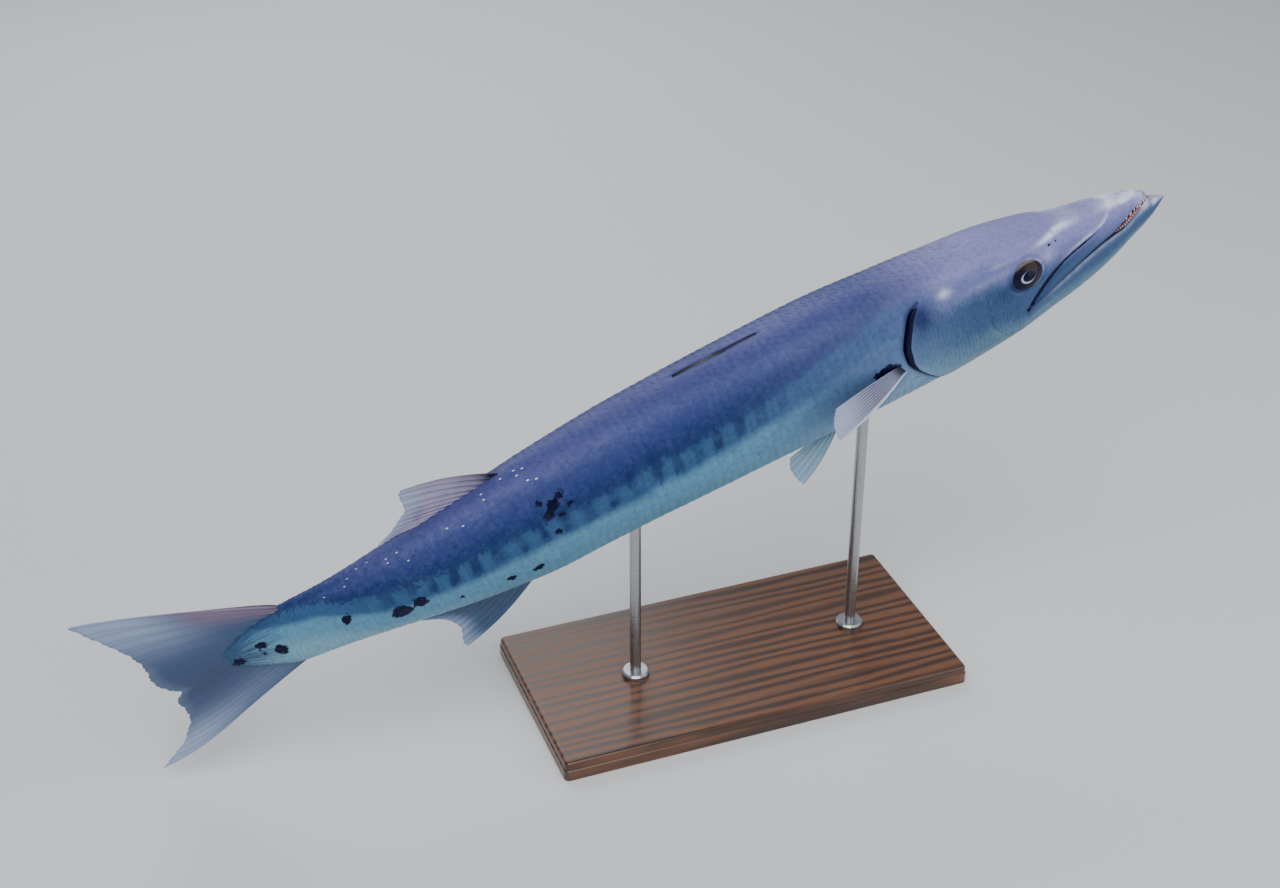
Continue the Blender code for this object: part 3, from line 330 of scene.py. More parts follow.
def outward(s, girth):
    """Unit normal of the smooth body from steps along and round it."""
    step = 0.0015
    turn = 0.006
    along = bare_point(s + step, girth) - bare_point(np.maximum(s - step, 0), girth)
    low = np.clip(girth - turn, 0.004, 0.996 - turn)
    around = bare_point(s, low + 2 * turn) - bare_point(s, low)
    normal = np.cross(around, along)
    length = np.linalg.norm(normal, axis=-1, keepdims=True)
    normal = normal / np.maximum(length, 1e-12)
    flip = np.sign(normal[..., 1:2] * 0.3 + normal[..., 2:3] * (0.5 - girth)[..., None] * 2)
    return normal * np.where(flip == 0, 1, flip)


def curve_gap(s, z, curve):
    """Height above a curve and distance past its ends, both in metres."""
    above = z - smooth_curve(s, curve)
    past = np.maximum(np.maximum(curve[0, 0] - s, s - curve[-1, 0]), 0)
    return above, past


def ellipse_reach(s, z, centre, radii):
    """Distance from an ellipse's centre counted in its radii."""
    return np.hypot((s - centre[0]) / radii[0], (z - centre[1]) / radii[1])


def soft_spot(s, z, centre, radii):
    """Bell over an ellipse: 1 at its centre, about a third at its edge."""
    return bell(ellipse_reach(s, z, centre, radii), 1.0)


def cheek_bone(z):
    """Station of the rear edge of the cheek's front bone at height z."""
    return np.interp(z, CHEEK_BONE[:, 1], CHEEK_BONE[:, 0])


def groove_half_width(s):
    """Half width of the folded fin's groove, narrow in front and full behind."""
    return GROOVE_HALF_WIDTH * (0.40 + 0.60 * ease(s, 0.480, 0.518))


def relief(s, girth):
    """Height of the skin over the smooth body, in metres.

    The sum of a ring round the eye, a brow ridge, the raised jaw plate, the cheek bone's
    edge, pores and folds of the jaw, the gill cover's swelling towards its edge, the step
    of the upper lip at the tip, the groove of the folded fin and faint muscle bands.
    """
    y, z = np.moveaxis(bare_point(s, girth)[..., 1:], -1, 0)
    out = np.zeros(np.broadcast(s, girth).shape)
    reach = ellipse_reach(s, z, EYE, ORBIT)
    out += 0.0013 * bell(reach - 1.10, 0.085) - 0.0010 * bell(reach - 1.30, 0.10)
    out -= 0.0012 * ease(1.06 - reach, 0.0, 0.06)
    over, past = curve_gap(s, z, BROW)
    out += 0.0012 * bell(over, 0.0028) * bell(past, 0.010)
    out -= 0.0013 * ease(over, 0.002, 0.014) * span(s, 0.03, 0.12, 0.16, 0.22)
    out += 0.0007 * bell(girth, 0.05) * span(s, 0.05, 0.08, 0.17, 0.21)
    under, past = curve_gap(s, z, JAW_PLATE)
    inside = span(-under, -0.0004, 0.0006, 0.010, 0.020) * bell(past, 0.003)
    out += 0.0009 * inside * ease(s, 0.060, 0.085)
    out -= 0.0007 * bell(under - 0.0009, 0.0008) * bell(past, 0.003) * ease(s, 0.066, 0.085)
    below = smooth_curve(s, GAPE, 1) - z
    out -= 0.0007 * bell(below, 0.0016) * span(s, 0.066, 0.080, 0.165, 0.196)
    jaw = span(s, 0.026, 0.050, 0.19, 0.215)
    out += jaw * (0.0007 * bell(below - 0.0105, 0.0035) - 0.0009 * bell(below - 0.0066, 0.0013))
    out -= jaw * 0.0006 * bell(below - 0.0185, 0.0014) * ease(s, 0.07, 0.10)
    throat = span(s, 0.05, 0.09, 0.23, 0.29)
    out -= 0.0014 * throat * bell(girth - 0.93, 0.018) - 0.0006 * throat * bell(girth - 0.99, 0.03)
    behind = s - cheek_bone(z)
    seen = span(z, -0.052, -0.042, 0.016, 0.028)
    out += 0.0007 * seen * (1 - ease(behind, -0.0004, 0.0008)) * ease(behind, -0.022, -0.004)
    out -= 0.0006 * seen * bell(behind - 0.0014, 0.0011)
    out += 0.00022 * span(s, 0.205, 0.225, 0.315, 0.33) * ripple(s * 22, girth * 9, seed=4)
    edge = gill_edge(girth)
    swelling = ease(s, GILL_REACH[0] + 0.03, edge - 0.006) * (s < edge)
    out += GILL_SWELLING * gill_open(girth) * swelling
    upper = 1 - ease(z, 0.0110, 0.0090)
    tip = 1 - ease(girth, 0.20, 0.34)
    out -= 0.0011 * bell(s - 0.0209, 0.0007) * tip
    out += 0.0006 * bell(s - 0.0238, 0.0012) * tip * upper
    groove = span(s, GROOVE[0] - 0.004, GROOVE[0] + 0.004, GROOVE[1] - 0.004, GROOVE[1] + 0.006)
    wide = groove_half_width(s)
    out -= GROOVE_DEPTH * groove * (1 - ease(y, wide * 0.7, wide * 1.25))
    band = np.sin((s + 0.05 * np.abs(girth - 0.45)) * 2 * math.pi / MUSCLE_BAND)
    out += 0.00012 * span(s, 0.34, 0.42, 0.98, 1.04) * band
    return out


HEAD_COAT = 0.0002


def coat_depth(s):
    """Depth of the skin under the solids' surface: thin on the head, filled by scales behind."""
    depth = bpy.context.scene.barracuda_sizes.coat_depth
    return HEAD_COAT + (depth - HEAD_COAT) * ease(s, 0.21, 0.33)


def skin_point(s, girth, side, lift=0.0):
    """Point of the skin: smooth body, less the coat's depth, plus relief and lift."""
    s = np.asarray(s, float)
    girth = np.asarray(girth, float)
    point = bare_point(s, girth)
    height = relief(s, girth) - coat_depth(s) + lift
    point = point + outward(s, girth) * height[..., None]
    ends = (girth <= 0) | (girth >= 1)
    point[..., 1] = np.where(ends, 0, np.maximum(point[..., 1], 0))
    point[..., 1] = side * point[..., 1] + smooth_curve(point[..., 0], SWEEP)
    return point


def marking(s, girth, side):
    """Distance outside the nearest black marking, in metres, negative inside it.

    The markings are the blotches and the skin behind the side fin. The left side has its
    own shift of each blotch.
    """
    z = bare_point(s, girth)[..., 2]
    nearest = np.full(np.broadcast(s, girth).shape, FAR)
    rng = np.random.default_rng(BLOTCH_SEED)
    for spot, wander in [(spot, LEFT_SHIFT) for spot in BLOTCHES] + [(AXIL, 0.0)]:
        centre = spot[:2] + rng.normal(size=2) * wander * (side > 0)
        radii = spot[2:]
        nearest = np.minimum(nearest, (ellipse_reach(s, z, centre, radii) - 1) * min(radii))
    return nearest


def painted_shade_line(s, girth):
    """Distance outside the nearest black painted shadow line: in the gill opening before the cover's edge and
    in the groove over the jaw plate.
    """
    z = bare_point(s, girth)[..., 2]
    edge = gill_edge(girth)
    wide = 0.0056 - 0.0032 * ease(girth, 0.50, 0.64)
    front = (edge - s) - wide
    back = s - edge - 0.0015
    rim = np.maximum(front, back) + FAR * (1 - gill_open(girth))
    over, past = curve_gap(s, z, JAW_PLATE)
    heavy = 0.0010 * ease(s, 0.080, 0.120) + 0.0013 * ease(s, 0.132, 0.168)
    line = np.hypot(over - 0.0008, past) + 0.0001 - heavy
    return np.minimum(rim, line)


def brightness(s, girth):
    """Share of pale highlight: brow ridge, orbit, jaw bands, nose and gill opening."""
    z = bare_point(s, girth)[..., 2]
    over, past = curve_gap(s, z, BROW)
    ridge = 1.15 * bell(over - 0.0002, 0.0019) * bell(past, 0.012) * (1 - 0.8 * ease(s, 0.150, 0.178))
    ridge = ridge * (0.62 + 0.50 * np.cos((s - 0.140) * 2 * math.pi / 0.090))
    patch = 0.25 * soft_spot(s, z, (0.158, 0.0250), (0.012, 0.007))
    orbit = 0.30 * bell(ellipse_reach(s, z, EYE, ORBIT) - 1.14, 0.06) * ease(EYE[0] - s, -0.004, 0.010)
    under, gone = curve_gap(s, z, JAW_PLATE)
    # painted highlight in a band above the jaw plate's line
    painted_seam_light_and_shade = 0.45 * bell(under - 0.0040, 0.0018) * bell(gone, 0.004) * (1 - ease(s, 0.11, 0.15))
    below = smooth_curve(s, GAPE, 1) - z
    jaw = 0.30 * bell(below - 0.0042, 0.0022) * span(s, 0.02, 0.04, 0.14, 0.18)
    tip = 0.7 * (1 - ease(s, 0.016, 0.022)) * (1 - ease(girth, 0.25, 0.5))
    nose = 0.6 * bell(s - 0.030, 0.008) * bell(girth - 0.30, 0.12)
    opening = 0.62 * soft_spot(s, z, (0.2760, 0.0435), (0.007, 0.0042))
    streak = 0.14 * soft_spot(s, z, (0.232, 0.0330), (0.030, 0.0035))
    return np.clip(ridge + patch + orbit + painted_seam_light_and_shade + jaw + tip + nose + opening + streak, 0, 1)


def darkness(s, girth):
    """Share of dark shade: round and behind the eye, along the lips, before the gill edge."""
    z = bare_point(s, girth)[..., 2]
    reach = ellipse_reach(s, z, EYE, ORBIT)
    ring = 0.80 * bell(reach - 1.04, 0.16) * (0.65 + 0.35 * ease(s, EYE[0] - 0.012, EYE[0] + 0.012))
    behind = 0.55 * soft_spot(s, z, (0.211, 0.0120), (0.016, 0.010))
    lip = smooth_curve(s, GAPE, 1)
    closed = bell(z - lip, 0.0020 + 0.0012 * ease(s, 0.11, 0.15)) * ease(s, 0.058, 0.070)
    closed = closed * (1 - 0.50 * ease(s, 0.125, 0.165)) * (1 - ease(s, 0.19, 0.20))
    # painted shade before the top of the gill opening
    painted_gill_shade = 1.1 * soft_spot(s, z, (0.3080, 0.0330), (0.014, 0.016))
    plate, past = curve_gap(s, z, JAW_PLATE)
    under = 0.45 * bell(plate + 0.0035, 0.0040) * bell(past, 0.004) * ease(s, 0.07, 0.12)
    return np.clip(ring + behind + 0.95 * closed + painted_gill_shade + under, 0, 1)


def body_fields(s, girth, side):
    """The values that skin and scales share, from which both materials take their colour."""
    line = GIRTH.girth_at(s, smooth_curve(s, LATERAL_LINE) + smooth_curve(s, PALE_RISE))
    return {
        "along": s,
        "girth": girth,
        "level": line - girth,
        "marking": marking(s, girth, side),
        "painted_shade_line": painted_shade_line(s, girth),
        "bright": brightness(s, girth),
        "shade": darkness(s, girth),
    }


def display(red, green, blue):
    """Display colour, 0 to 255, as a linear colour."""
    v = np.array([red, green, blue]) / 255
    return tuple(float(x) for x in np.where(v <= 0.04045, v / 12.92, ((v + 0.055) / 1.055) ** 2.4))


def colour(label, red, green, blue, note):
    """A colour property with its default given as a display colour."""
    return bpy.props.FloatVectorProperty(name=label, description=note, subtype="COLOR", size=3,
                                         min=0.0, max=1.0, default=display(red, green, blue))


def length(label, metres, note):
    """A length property in metres."""
    return bpy.props.FloatProperty(name=label, description=note, default=metres, min=0.0,
                                   soft_max=metres * 4, precision=5, unit="LENGTH")


class BarracudaSizes(bpy.types.PropertyGroup):
    """Sizes of the coat, fins, eyes and teeth."""
    coat_depth: length("Coat depth", 0.0010, "Depth of the skin under the solids, filled by the scales")
    scale_pitch: length("Scale pitch", 0.0086, "Step from one ring of scales to the next on the trunk")
    tail_pitch: length("Tail scale pitch", 0.0052, "Step between rings of scales at the tail's root")
    cheek_pitch: length("Cheek scale pitch", 0.0043, "Step between the small scales of the cheek")
    scale_thickness: length("Scale thickness", 0.00015, "Thickness of one scale")
    scale_rise: length("Scale rise", 0.00042, "Height of a scale's free edge over its root")
    web: length("Fin skin", 0.00032, "Half thickness of the skin between fin rays")
    ray_root: length("Ray root", 0.0013, "Half thickness of a fin ray at its root")
    ray_tip: length("Ray tip", 0.0004, "Half thickness of a fin ray at its tip")
    fang: length("Fang length", 0.0072, "Length of the longest tooth")
    base_edge: length("Base edge", 0.004, "Width of the moulded edge of the stand's base")


class BarracudaColours(bpy.types.PropertyGroup):
    """Colours of the fish and its stand."""
    # back: the fish's blue-violet, kept lighter than the flank below it partly as painted sheen of light from
    # above
    back: colour("Back", 76, 82, 140, "Ridge of the back")
    upper: colour("Upper flank", 52, 66, 124, "Flank under the back")
    dark: colour("Dark flank", 32, 52, 104, "Darkest band above the lateral line")
    middle: colour("Middle flank", 52, 92, 134, "Flank at the lateral line")
    pale: colour("Pale flank", 94, 148, 178, "Flank below the lateral line")
    belly: colour("Belly", 126, 172, 194, "Underside")
    throat: colour("Front flank", 74, 112, 150, "Pale flank behind the gill opening")
    # bar: the dark bars, and also the colour of the painted shade on the head and along the shut lips
    bar: colour("Bars", 16, 34, 86, "Dark bars across the lateral line")
    # crown: lighter than the temple and cheek below it, partly the head's own colour and partly painted light
    # from above
    crown: colour("Crown", 140, 138, 194, "Top of the head")
    temple: colour("Temple", 108, 114, 168, "Upper side of the head")
    cheek: colour("Cheek", 60, 86, 126, "Side of the head")
    jaw: colour("Jaw", 92, 128, 154, "Lower jaw and throat")
    # bright: the colour of the painted highlights on the head; also the paler tone of some scales and the
    # side fins' pale tips
    bright: colour("Highlights", 228, 232, 255, "Pale ridges and edges of the head")
    # black: the blotches and the skin behind the side fin, and also the painted shadow in the gill opening,
    # over the jaw plate, between the shut lips and deep in the socket and nostrils
    black: colour("Markings", 2, 5, 42, "Blotches, gill edge and skin behind the side fin")
    gum: colour("Gums", 142, 78, 90, "Gums and lining of the lips")
    # gape: the mouth's own red, darkened almost to black as painted shade deep inside
    gape: colour("Gape", 34, 12, 22, "Inside of the mouth")
    tooth: colour("Teeth", 226, 226, 216, "Teeth")
    silver: colour("Iris silver", 168, 180, 200, "Pale crescent of the iris")
    bronze: colour("Iris bronze", 54, 40, 40, "Dark part of the iris")
    gold: colour("Iris rim", 150, 134, 104, "Upper rim of the iris and stain of the teeth")
    fin_slate: colour("Tail fin", 46, 74, 112, "Tail fin and the end of the tail's flesh")
    fin_sea: colour("Anal fin", 48, 88, 118, "Anal fin")
    fin_blush: colour("Pink fin", 158, 148, 180, "Second back fin")
    fin_teal: colour("Belly fins", 128, 168, 186, "Belly fins")
    fin_pale: colour("Fin tips", 158, 176, 208, "Pale tips")
    fin_web: colour("Side fin skin", 100, 92, 124, "Skin between the rays of the side fins")
    fin_warm: colour("Tail edge", 126, 104, 128, "Upper edge of the tail near its root")
    fin_ray: colour("Fin rays", 92, 92, 124, "Rays of the second back fin")
    # folded: the fin's own dark colour deepened as painted shade of the groove it lies in
    folded: colour("Folded fin", 14, 16, 40, "First back fin in its groove")
    wood_light: colour("Wood, light", 112, 70, 42, "Light grain of the base")
    wood_dark: colour("Wood, dark", 52, 28, 17, "Dark grain of the base")
    steel: colour("Steel", 176, 178, 182, "Rods and collars")
    floor: colour("Floor", 228, 229, 230, "Floor of the studio")


def colours():
    """The scene's colours, as the panel shows them."""
    return bpy.context.scene.barracuda_colours


def node(tree, kind, inputs=None, **settings):
    """A shader node with its settings, and its inputs set or linked."""
    made = tree.nodes.new("ShaderNode" + kind)
    for key, item in settings.items():
        setattr(made, key, item)
    for key, item in (inputs or {}).items():
        if isinstance(item, bpy.types.NodeSocket):
            tree.links.new(item, made.inputs[key])
        else:
            made.inputs[key].default_value = item
    return made


def field(tree, name):
    """A value that the mesh carries at its points."""
    return node(tree, "Attribute", attribute_name=name).outputs["Fac"]


def calc(tree, operation, a, b=0.0):
    """Arithmetic on one or two values."""
    return node(tree, "Math", {0: a, 1: b}, operation=operation).outputs[0]


def plus(tree, a, b):
    """Sum of two values."""
    return calc(tree, "ADD", a, b)


def minus(tree, a, b):
    """Difference of two values."""
    return calc(tree, "SUBTRACT", a, b)


def times(tree, a, *factors):
    """Product of two or more values."""
    for factor in factors:
        a = calc(tree, "MULTIPLY", a, factor)
    return a


def swing(tree, value, size):
    """A value between 0 and 1 moved to lie round 0 and scaled to the size."""
    return times(tree, minus(tree, value, 0.5), size)


def stretch(tree, value, low, high, new_low=0.0, new_high=1.0):
    """Value from one range to another with a smooth S, held at both ends."""
    ranges = {"Value": value, "From Min": low, "From Max": high, "To Min": new_low, "To Max": new_high}
    return node(tree, "MapRange", ranges, interpolation_type="SMOOTHSTEP").outputs[0]


def blend(tree, factor, a, b):
    """Mix of two colours, each another node's or given by three values."""
    a, b = (item if isinstance(item, bpy.types.NodeSocket) else (*item, 1.0) for item in (a, b))
    return node(tree, "Mix", {0: factor, 6: a, 7: b}, data_type="RGBA").outputs[2]


def own_place(tree, scale=None, location=(0.0, 0.0, 0.0)):
    """The object's own coordinates, stretched along each axis if a scale is given."""
    own = node(tree, "TexCoord").outputs["Object"]
    if scale is None:
        return own
    return node(tree, "Mapping", {"Vector": own, "Scale": scale, "Location": location}).outputs[0]


def grain(tree, scale, detail=3.0, roughness=0.55, vector=None):
    """Noise between 0 and 1 on the object's own coordinates or a given vector."""
    vector = own_place(tree) if vector is None else vector
    inputs = {"Vector": vector, "Scale": scale, "Detail": detail, "Roughness": roughness}
    return node(tree, "TexNoise", inputs).outputs[0]


def ramp(tree, value, stops):
    """Colour along a value: stops are places and linear colours."""
    made = node(tree, "ValToRGB", {0: value})
    band = made.color_ramp
    band.interpolation = "EASE"
    while len(band.elements) < len(stops):
        band.elements.new(0.5)
    for element, (place_at, shade) in zip(band.elements, stops):
        element.position = place_at
        element.color = (*shade, 1.0)
    return made.outputs[0]


def new_finish(name, roughness, metallic=0.0, coat=0.0, coat_roughness=0.1, specular=0.5):
    """A material with the uniform values set on the shader's own sockets."""
    material = bpy.data.materials.new(name)
    material.use_nodes = True
    shader = material.node_tree.nodes["Principled BSDF"]
    values = {"Roughness": roughness, "Metallic": metallic, "Coat Weight": coat,
              "Coat Roughness": coat_roughness, "Specular IOR Level": specular}
    for key, item in values.items():
        shader.inputs[key].default_value = item
    return material, material.node_tree, shader


def paint_with(tree, shader, paint, roughness=None):
    """Gives the surface its colour and, where it varies, its roughness."""
    tree.links.new(paint, shader.inputs["Base Color"])
    if roughness is not None:
        tree.links.new(roughness, shader.inputs["Roughness"])


def let_light_in(shader, weight, radius):
    """Lets light scatter under the surface as far as the radius for red, green and blue."""
    shader.inputs["Subsurface Weight"].default_value = weight
    shader.inputs["Subsurface Radius"].default_value = radius


def bump(tree, shader, height, distance, strength=1.0):
    """Fine relief of a surface from a height value, distance in metres."""
    made = node(tree, "Bump", {"Height": height, "Distance": distance, "Strength": strength})
    tree.links.new(made.outputs[0], shader.inputs["Normal"])


BAR_STEP = 0.0240


def trunk_paint(tree, along, cloud, fine):
    """Bands by height over the lateral line, with dark bars across it.

    The bars are a sine along the body, bent and broken by noise.
    """
    c = colours()
    even = plus(tree, field(tree, "level"), swing(tree, cloud, 0.08))
    speck = times(tree, swing(tree, fine, 0.16), stretch(tree, along, 0.66, 0.90, 1.0, 2.2))
    level = plus(tree, even, speck)
    wobble = times(tree, grain(tree, 13.0, 3.0), 8.0)
    turn = plus(tree, times(tree, along, 2 * math.pi / BAR_STEP), wobble)
    pulse = stretch(tree, calc(tree, "SINE", turn), -0.5, 0.8)
    window = times(tree, stretch(tree, along, 0.42, 0.52), stretch(tree, along, 0.95, 0.86))
    patchy = stretch(tree, grain(tree, 34.0, 3.0, 0.6), 0.36, 0.58, 0.30, 1.0)
    bars = times(tree, pulse, window, patchy)
    height = minus(tree, level, stretch(tree, along, 0.66, 0.85, 0.0, 0.035))
    # the back at the top of the ramp is lighter than the flank under it, partly painted light from above
    bands = ramp(tree, plus(tree, height, 0.5), [
        (0.0, c.belly), (0.455, c.middle), (0.545, c.middle),
        (0.60, c.dark), (0.72, c.upper), (0.90, c.back), (1.0, c.back)])
    flank = blend(tree, stretch(tree, along, 0.36, 0.52), c.throat, c.pale)
    lower = blend(tree, stretch(tree, level, -0.16, -0.42), flank, c.belly)
    banded = blend(tree, stretch(tree, even, -0.015, -0.095), bands, lower)
    band = times(tree, stretch(tree, level, -0.06, 0.0), stretch(tree, level, 0.15, 0.07))
    return blend(tree, times(tree, bars, band, 0.82), banded, c.bar)


def head_paint(tree, along, cloud):
    """Bands by girth, which stand a little higher behind the eye."""
    c = colours()
    girth = plus(tree, field(tree, "girth"), swing(tree, cloud, 0.10))
    raised = plus(tree, girth, stretch(tree, along, 0.18, 0.23, 0.0, 0.055))
    # the crown is lighter than the cheek, partly painted light from above
    return ramp(tree, raised, [
        (0.0, c.crown), (0.20, c.crown), (0.34, c.temple), (0.46, c.cheek),
        (0.60, c.cheek), (0.74, c.jaw), (1.0, c.jaw)])


def tail_fade(tree, along):
    """Share of the tail fin's colour: first at back and belly, with streaks along the rays."""
    girth = field(tree, "girth")
    lines = node(tree, "CombineXYZ", {0: times(tree, along, 14.0), 1: times(tree, girth, 34.0)}).outputs[0]
    reach = plus(tree, along, swing(tree, grain(tree, 1.0, 3.0, 0.6, lines), 0.11))
    ends = calc(tree, "ABSOLUTE", minus(tree, girth, 0.5))
    margin = times(tree, stretch(tree, ends, 0.20, 0.46), stretch(tree, reach, 0.980, 1.030, 0.0, 0.92))
    return calc(tree, "MAXIMUM", margin, stretch(tree, reach, 1.000, 1.062, 0.0, 0.92))


def body_paint(tree):
    """Colour of the fish at a place, the same for skin and scales.

    Head and trunk have bands of their own and meet at the gill opening. Painted shade, painted
    highlights, black markings and black painted shadow lines lie on top, each edge broken by noise.
    """
    c = colours()
    along = field(tree, "along")
    cloud = grain(tree, 22.0, 4.0)
    fine = grain(tree, 210.0, 4.0, 0.68)
    trunk = trunk_paint(tree, along, cloud, fine)
    front = blend(tree, stretch(tree, along, 0.56, 0.38, 0.0, 0.32), trunk, c.temple)
    whole = blend(tree, stretch(tree, along, 0.24, 0.36), head_paint(tree, along, cloud), front)
    tailed = blend(tree, tail_fade(tree, along), whole, c.fin_slate)
    soft = blend(tree, times(tree, stretch(tree, fine, 0.62, 0.30), 0.22), tailed, c.bar)
    # painted shade, in the colour of the bars
    with_painted_shade = blend(tree, times(tree, field(tree, "shade"), 0.85), soft, c.bar)
    broken = stretch(tree, grain(tree, 130.0, 4.0, 0.6), 0.30, 0.58, 0.40, 1.0)
    # painted highlights
    lit = blend(tree, times(tree, field(tree, "bright"), broken), with_painted_shade, c.bright)
    ragged = swing(tree, grain(tree, 150.0, 4.0, 0.72), 0.0150)
    edge = plus(tree, field(tree, "marking"), ragged)
    spotted = blend(tree, stretch(tree, edge, 0.0005, -0.0005), lit, c.black)
    # black painted shadow lines
    frayed = plus(tree, field(tree, "painted_shade_line"), times(tree, ragged, 0.09))
    return blend(tree, stretch(tree, frayed, 0.0004, -0.0003), spotted, c.black)


def skin_finish():
    """Wet, faintly pearly skin; pink where it lines the mouth, and deep inside the mouth's red darkened as
    painted shade.
    """
    c = colours()
    material, tree, shader = new_finish("fish_skin", 0.40, 0.06, 0.03, 0.25, 0.14)
    paint = body_paint(tree)
    lined = field(tree, "lining")
    pink = blend(tree, stretch(tree, lined, 0.10, 0.45), paint, c.gum)
    # deep in the mouth: painted shade over the mouth's red
    full = blend(tree, stretch(tree, lined, 0.62, 0.95), pink, c.gape)
    creases = grain(tree, 180.0, 4.0, 0.6)
    paint_with(tree, shader, full, stretch(tree, creases, 0.25, 0.75, 0.28, 0.46))
    pores = grain(tree, 900.0, 2.0)
    bump(tree, shader, plus(tree, times(tree, pores, 0.4), creases), 0.00022, 0.7)
    return material


# colour of the painted glints on a few scales
GLINT = (0.90, 0.93, 0.98)


def scale_finish():
    """Scales: the skin's colours, each scale a little lighter or darker, its free edge dark."""
    c = colours()
    material, tree, shader = new_finish("fish_scales", 0.42, 0.10, 0.02, 0.25, 0.14)
    paint = body_paint(tree)
    tone = field(tree, "tone")
    dark = blend(tree, stretch(tree, tone, 0.5, 0.0, 0.0, 0.08), paint, c.bar)
    pale = blend(tree, stretch(tree, tone, 0.5, 1.0, 0.0, 0.010), dark, c.bright)
    rim = times(tree, stretch(tree, field(tree, "rim"), 0.60, 1.0), 0.06)
    edged = blend(tree, rim, pale, c.bar)
    # painted glint on the tip of a few scales
    glint = blend(tree, stretch(tree, field(tree, "glint"), 0.45, 0.85), edged, GLINT)
    paint_with(tree, shader, glint, stretch(tree, tone, 0.0, 1.0, 0.47, 0.43))
    on_scale = node(tree, "UVMap", uv_map="OFBake").outputs[0]
    rings = node(tree, "TexWave", {"Vector": on_scale, "Scale": 1400.0, "Distortion": 2.0},
                 wave_type="BANDS").outputs["Fac"]
    bump(tree, shader, plus(tree, times(tree, rings, 0.25), grain(tree, 500.0)), 0.00010, 0.6)
    return material


def add_object(name, data):
    """A new object of the scene with its data: mesh, lamp or camera."""
    made = bpy.data.objects.new(name, data)
    bpy.context.scene.collection.objects.link(made)
    return made


def make_mesh(name, points, quads, fields, bake, material, triangles=None, crease=None):
    """A piece from arrays: points in the body frame, faces, values at points, a bake map at points.

    The bake map has one place for each corner of the faces, quads first. Edges that bend by
    more than the crease, in degrees, stay sharp.
    """
    points = np.asarray(points, float).reshape(-1, 3)
    quads = np.asarray(quads, np.int64).reshape(-1, 4)
    triangles = np.asarray([] if triangles is None else triangles, np.int64).reshape(-1, 3)
    corners = np.concatenate([quads.ravel(), triangles.ravel()])
    starts = np.concatenate([np.arange(len(quads)) * 4, len(quads) * 4 + np.arange(len(triangles)) * 3])
    mesh = bpy.data.meshes.new(name)
    mesh.vertices.add(len(points))
    mesh.vertices.foreach_set("co", place(points).astype(np.float32).ravel())
    mesh.loops.add(len(corners))
    mesh.loops.foreach_set("vertex_index", corners.astype(np.int32))
    mesh.polygons.add(len(starts))
    mesh.polygons.foreach_set("loop_start", starts.astype(np.int32))
    mesh.update(calc_edges=True)
    mesh.polygons.foreach_set("use_smooth", [True] * len(starts))
    for key, item in fields.items():
        layer = mesh.attributes.new(key, "FLOAT", "POINT")
        layer.data.foreach_set("value", np.asarray(item, np.float32).ravel())
    if bake is not None:
        layer = mesh.uv_layers.new(name="OFBake")
        layer.data.foreach_set("uv", np.asarray(bake, np.float32).ravel())
    mesh.materials.append(material)
    mesh.update()
    if crease is not None:
        mesh.set_sharp_from_angle(angle=math.radians(crease))
    return add_object(name, mesh)


def faces_outward(points, faces):
    """Faces of a closed shape turned so that its signed volume is positive in the shared frame."""
    p = place(np.asarray(points, float).reshape(-1, 3))
    a, b, c = (p[faces[:, k]] for k in (0, 1, 2))
    volume = np.einsum("ij,ij->i", a, np.cross(b, c)).sum()
    if faces.shape[1] == 4:
        d = p[faces[:, 3]]
        volume += np.einsum("ij,ij->i", a, np.cross(c, d)).sum()
    return faces if volume > 0 else faces[:, ::-1]


def grid_quads(rows, columns, round_columns=False):
    """Quads of a grid of points stored row by row, open or closed round its columns."""
    i = np.arange(rows - 1)
    j = np.arange(columns if round_columns else columns - 1)
    i, j = np.meshgrid(i, j, indexing="ij")
    k = (j + 1) % columns
    n = i + 1
    corners = [i * columns + j, i * columns + k, n * columns + k, n * columns + j]
    return np.stack(corners, -1).reshape(-1, 4)


def sheet_faces(rows, columns):
    """Faces of a closed sheet: its upper grid, its lower grid and the walls round the edge."""
    count = rows * columns
    quads = grid_quads(rows, columns)
    rim = [(i, 0) for i in range(rows)] + [(rows - 1, j) for j in range(1, columns)]
    rim += [(i, columns - 1) for i in range(rows - 2, -1, -1)] + [(0, j) for j in range(columns - 2, 0, -1)]
    rim = np.array([i * columns + j for i, j in rim])
    walls = np.stack([rim, np.roll(rim, -1), np.roll(rim, -1) + count, rim + count], -1)
    return np.concatenate([quads, quads[:, ::-1] + count, walls])


def capped_faces(points, rows, columns):
    """Quads and end triangles, turned outwards, of round rows of points and two end points."""
    quads = grid_quads(rows, columns, round_columns=True)
    first = np.arange(columns)
    last = (rows - 1) * columns + first
    ends = np.concatenate([
        np.stack([np.roll(first, -1), first, np.full(columns, rows * columns)], -1),
        np.stack([last, np.roll(last, -1), np.full(columns, rows * columns + 1)], -1)])
    turned = faces_outward(points, quads)
    return turned, ends if turned[0, 0] == quads[0, 0] else ends[:, ::-1]


def ride(obj, *nodes, slot=None):
    """The piece moves with the body and stands for its nodes; the slot is not used."""
    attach(obj, ROOT)
    if nodes:
        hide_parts(*nodes)
    return obj


# Rows and columns of the skin
UPPER_COLUMNS = 56
LOWER_COLUMNS = 31
FRONT_SHARES = (0.13, 0.30)
TRUNK_SHARES = (0.505, 0.705)
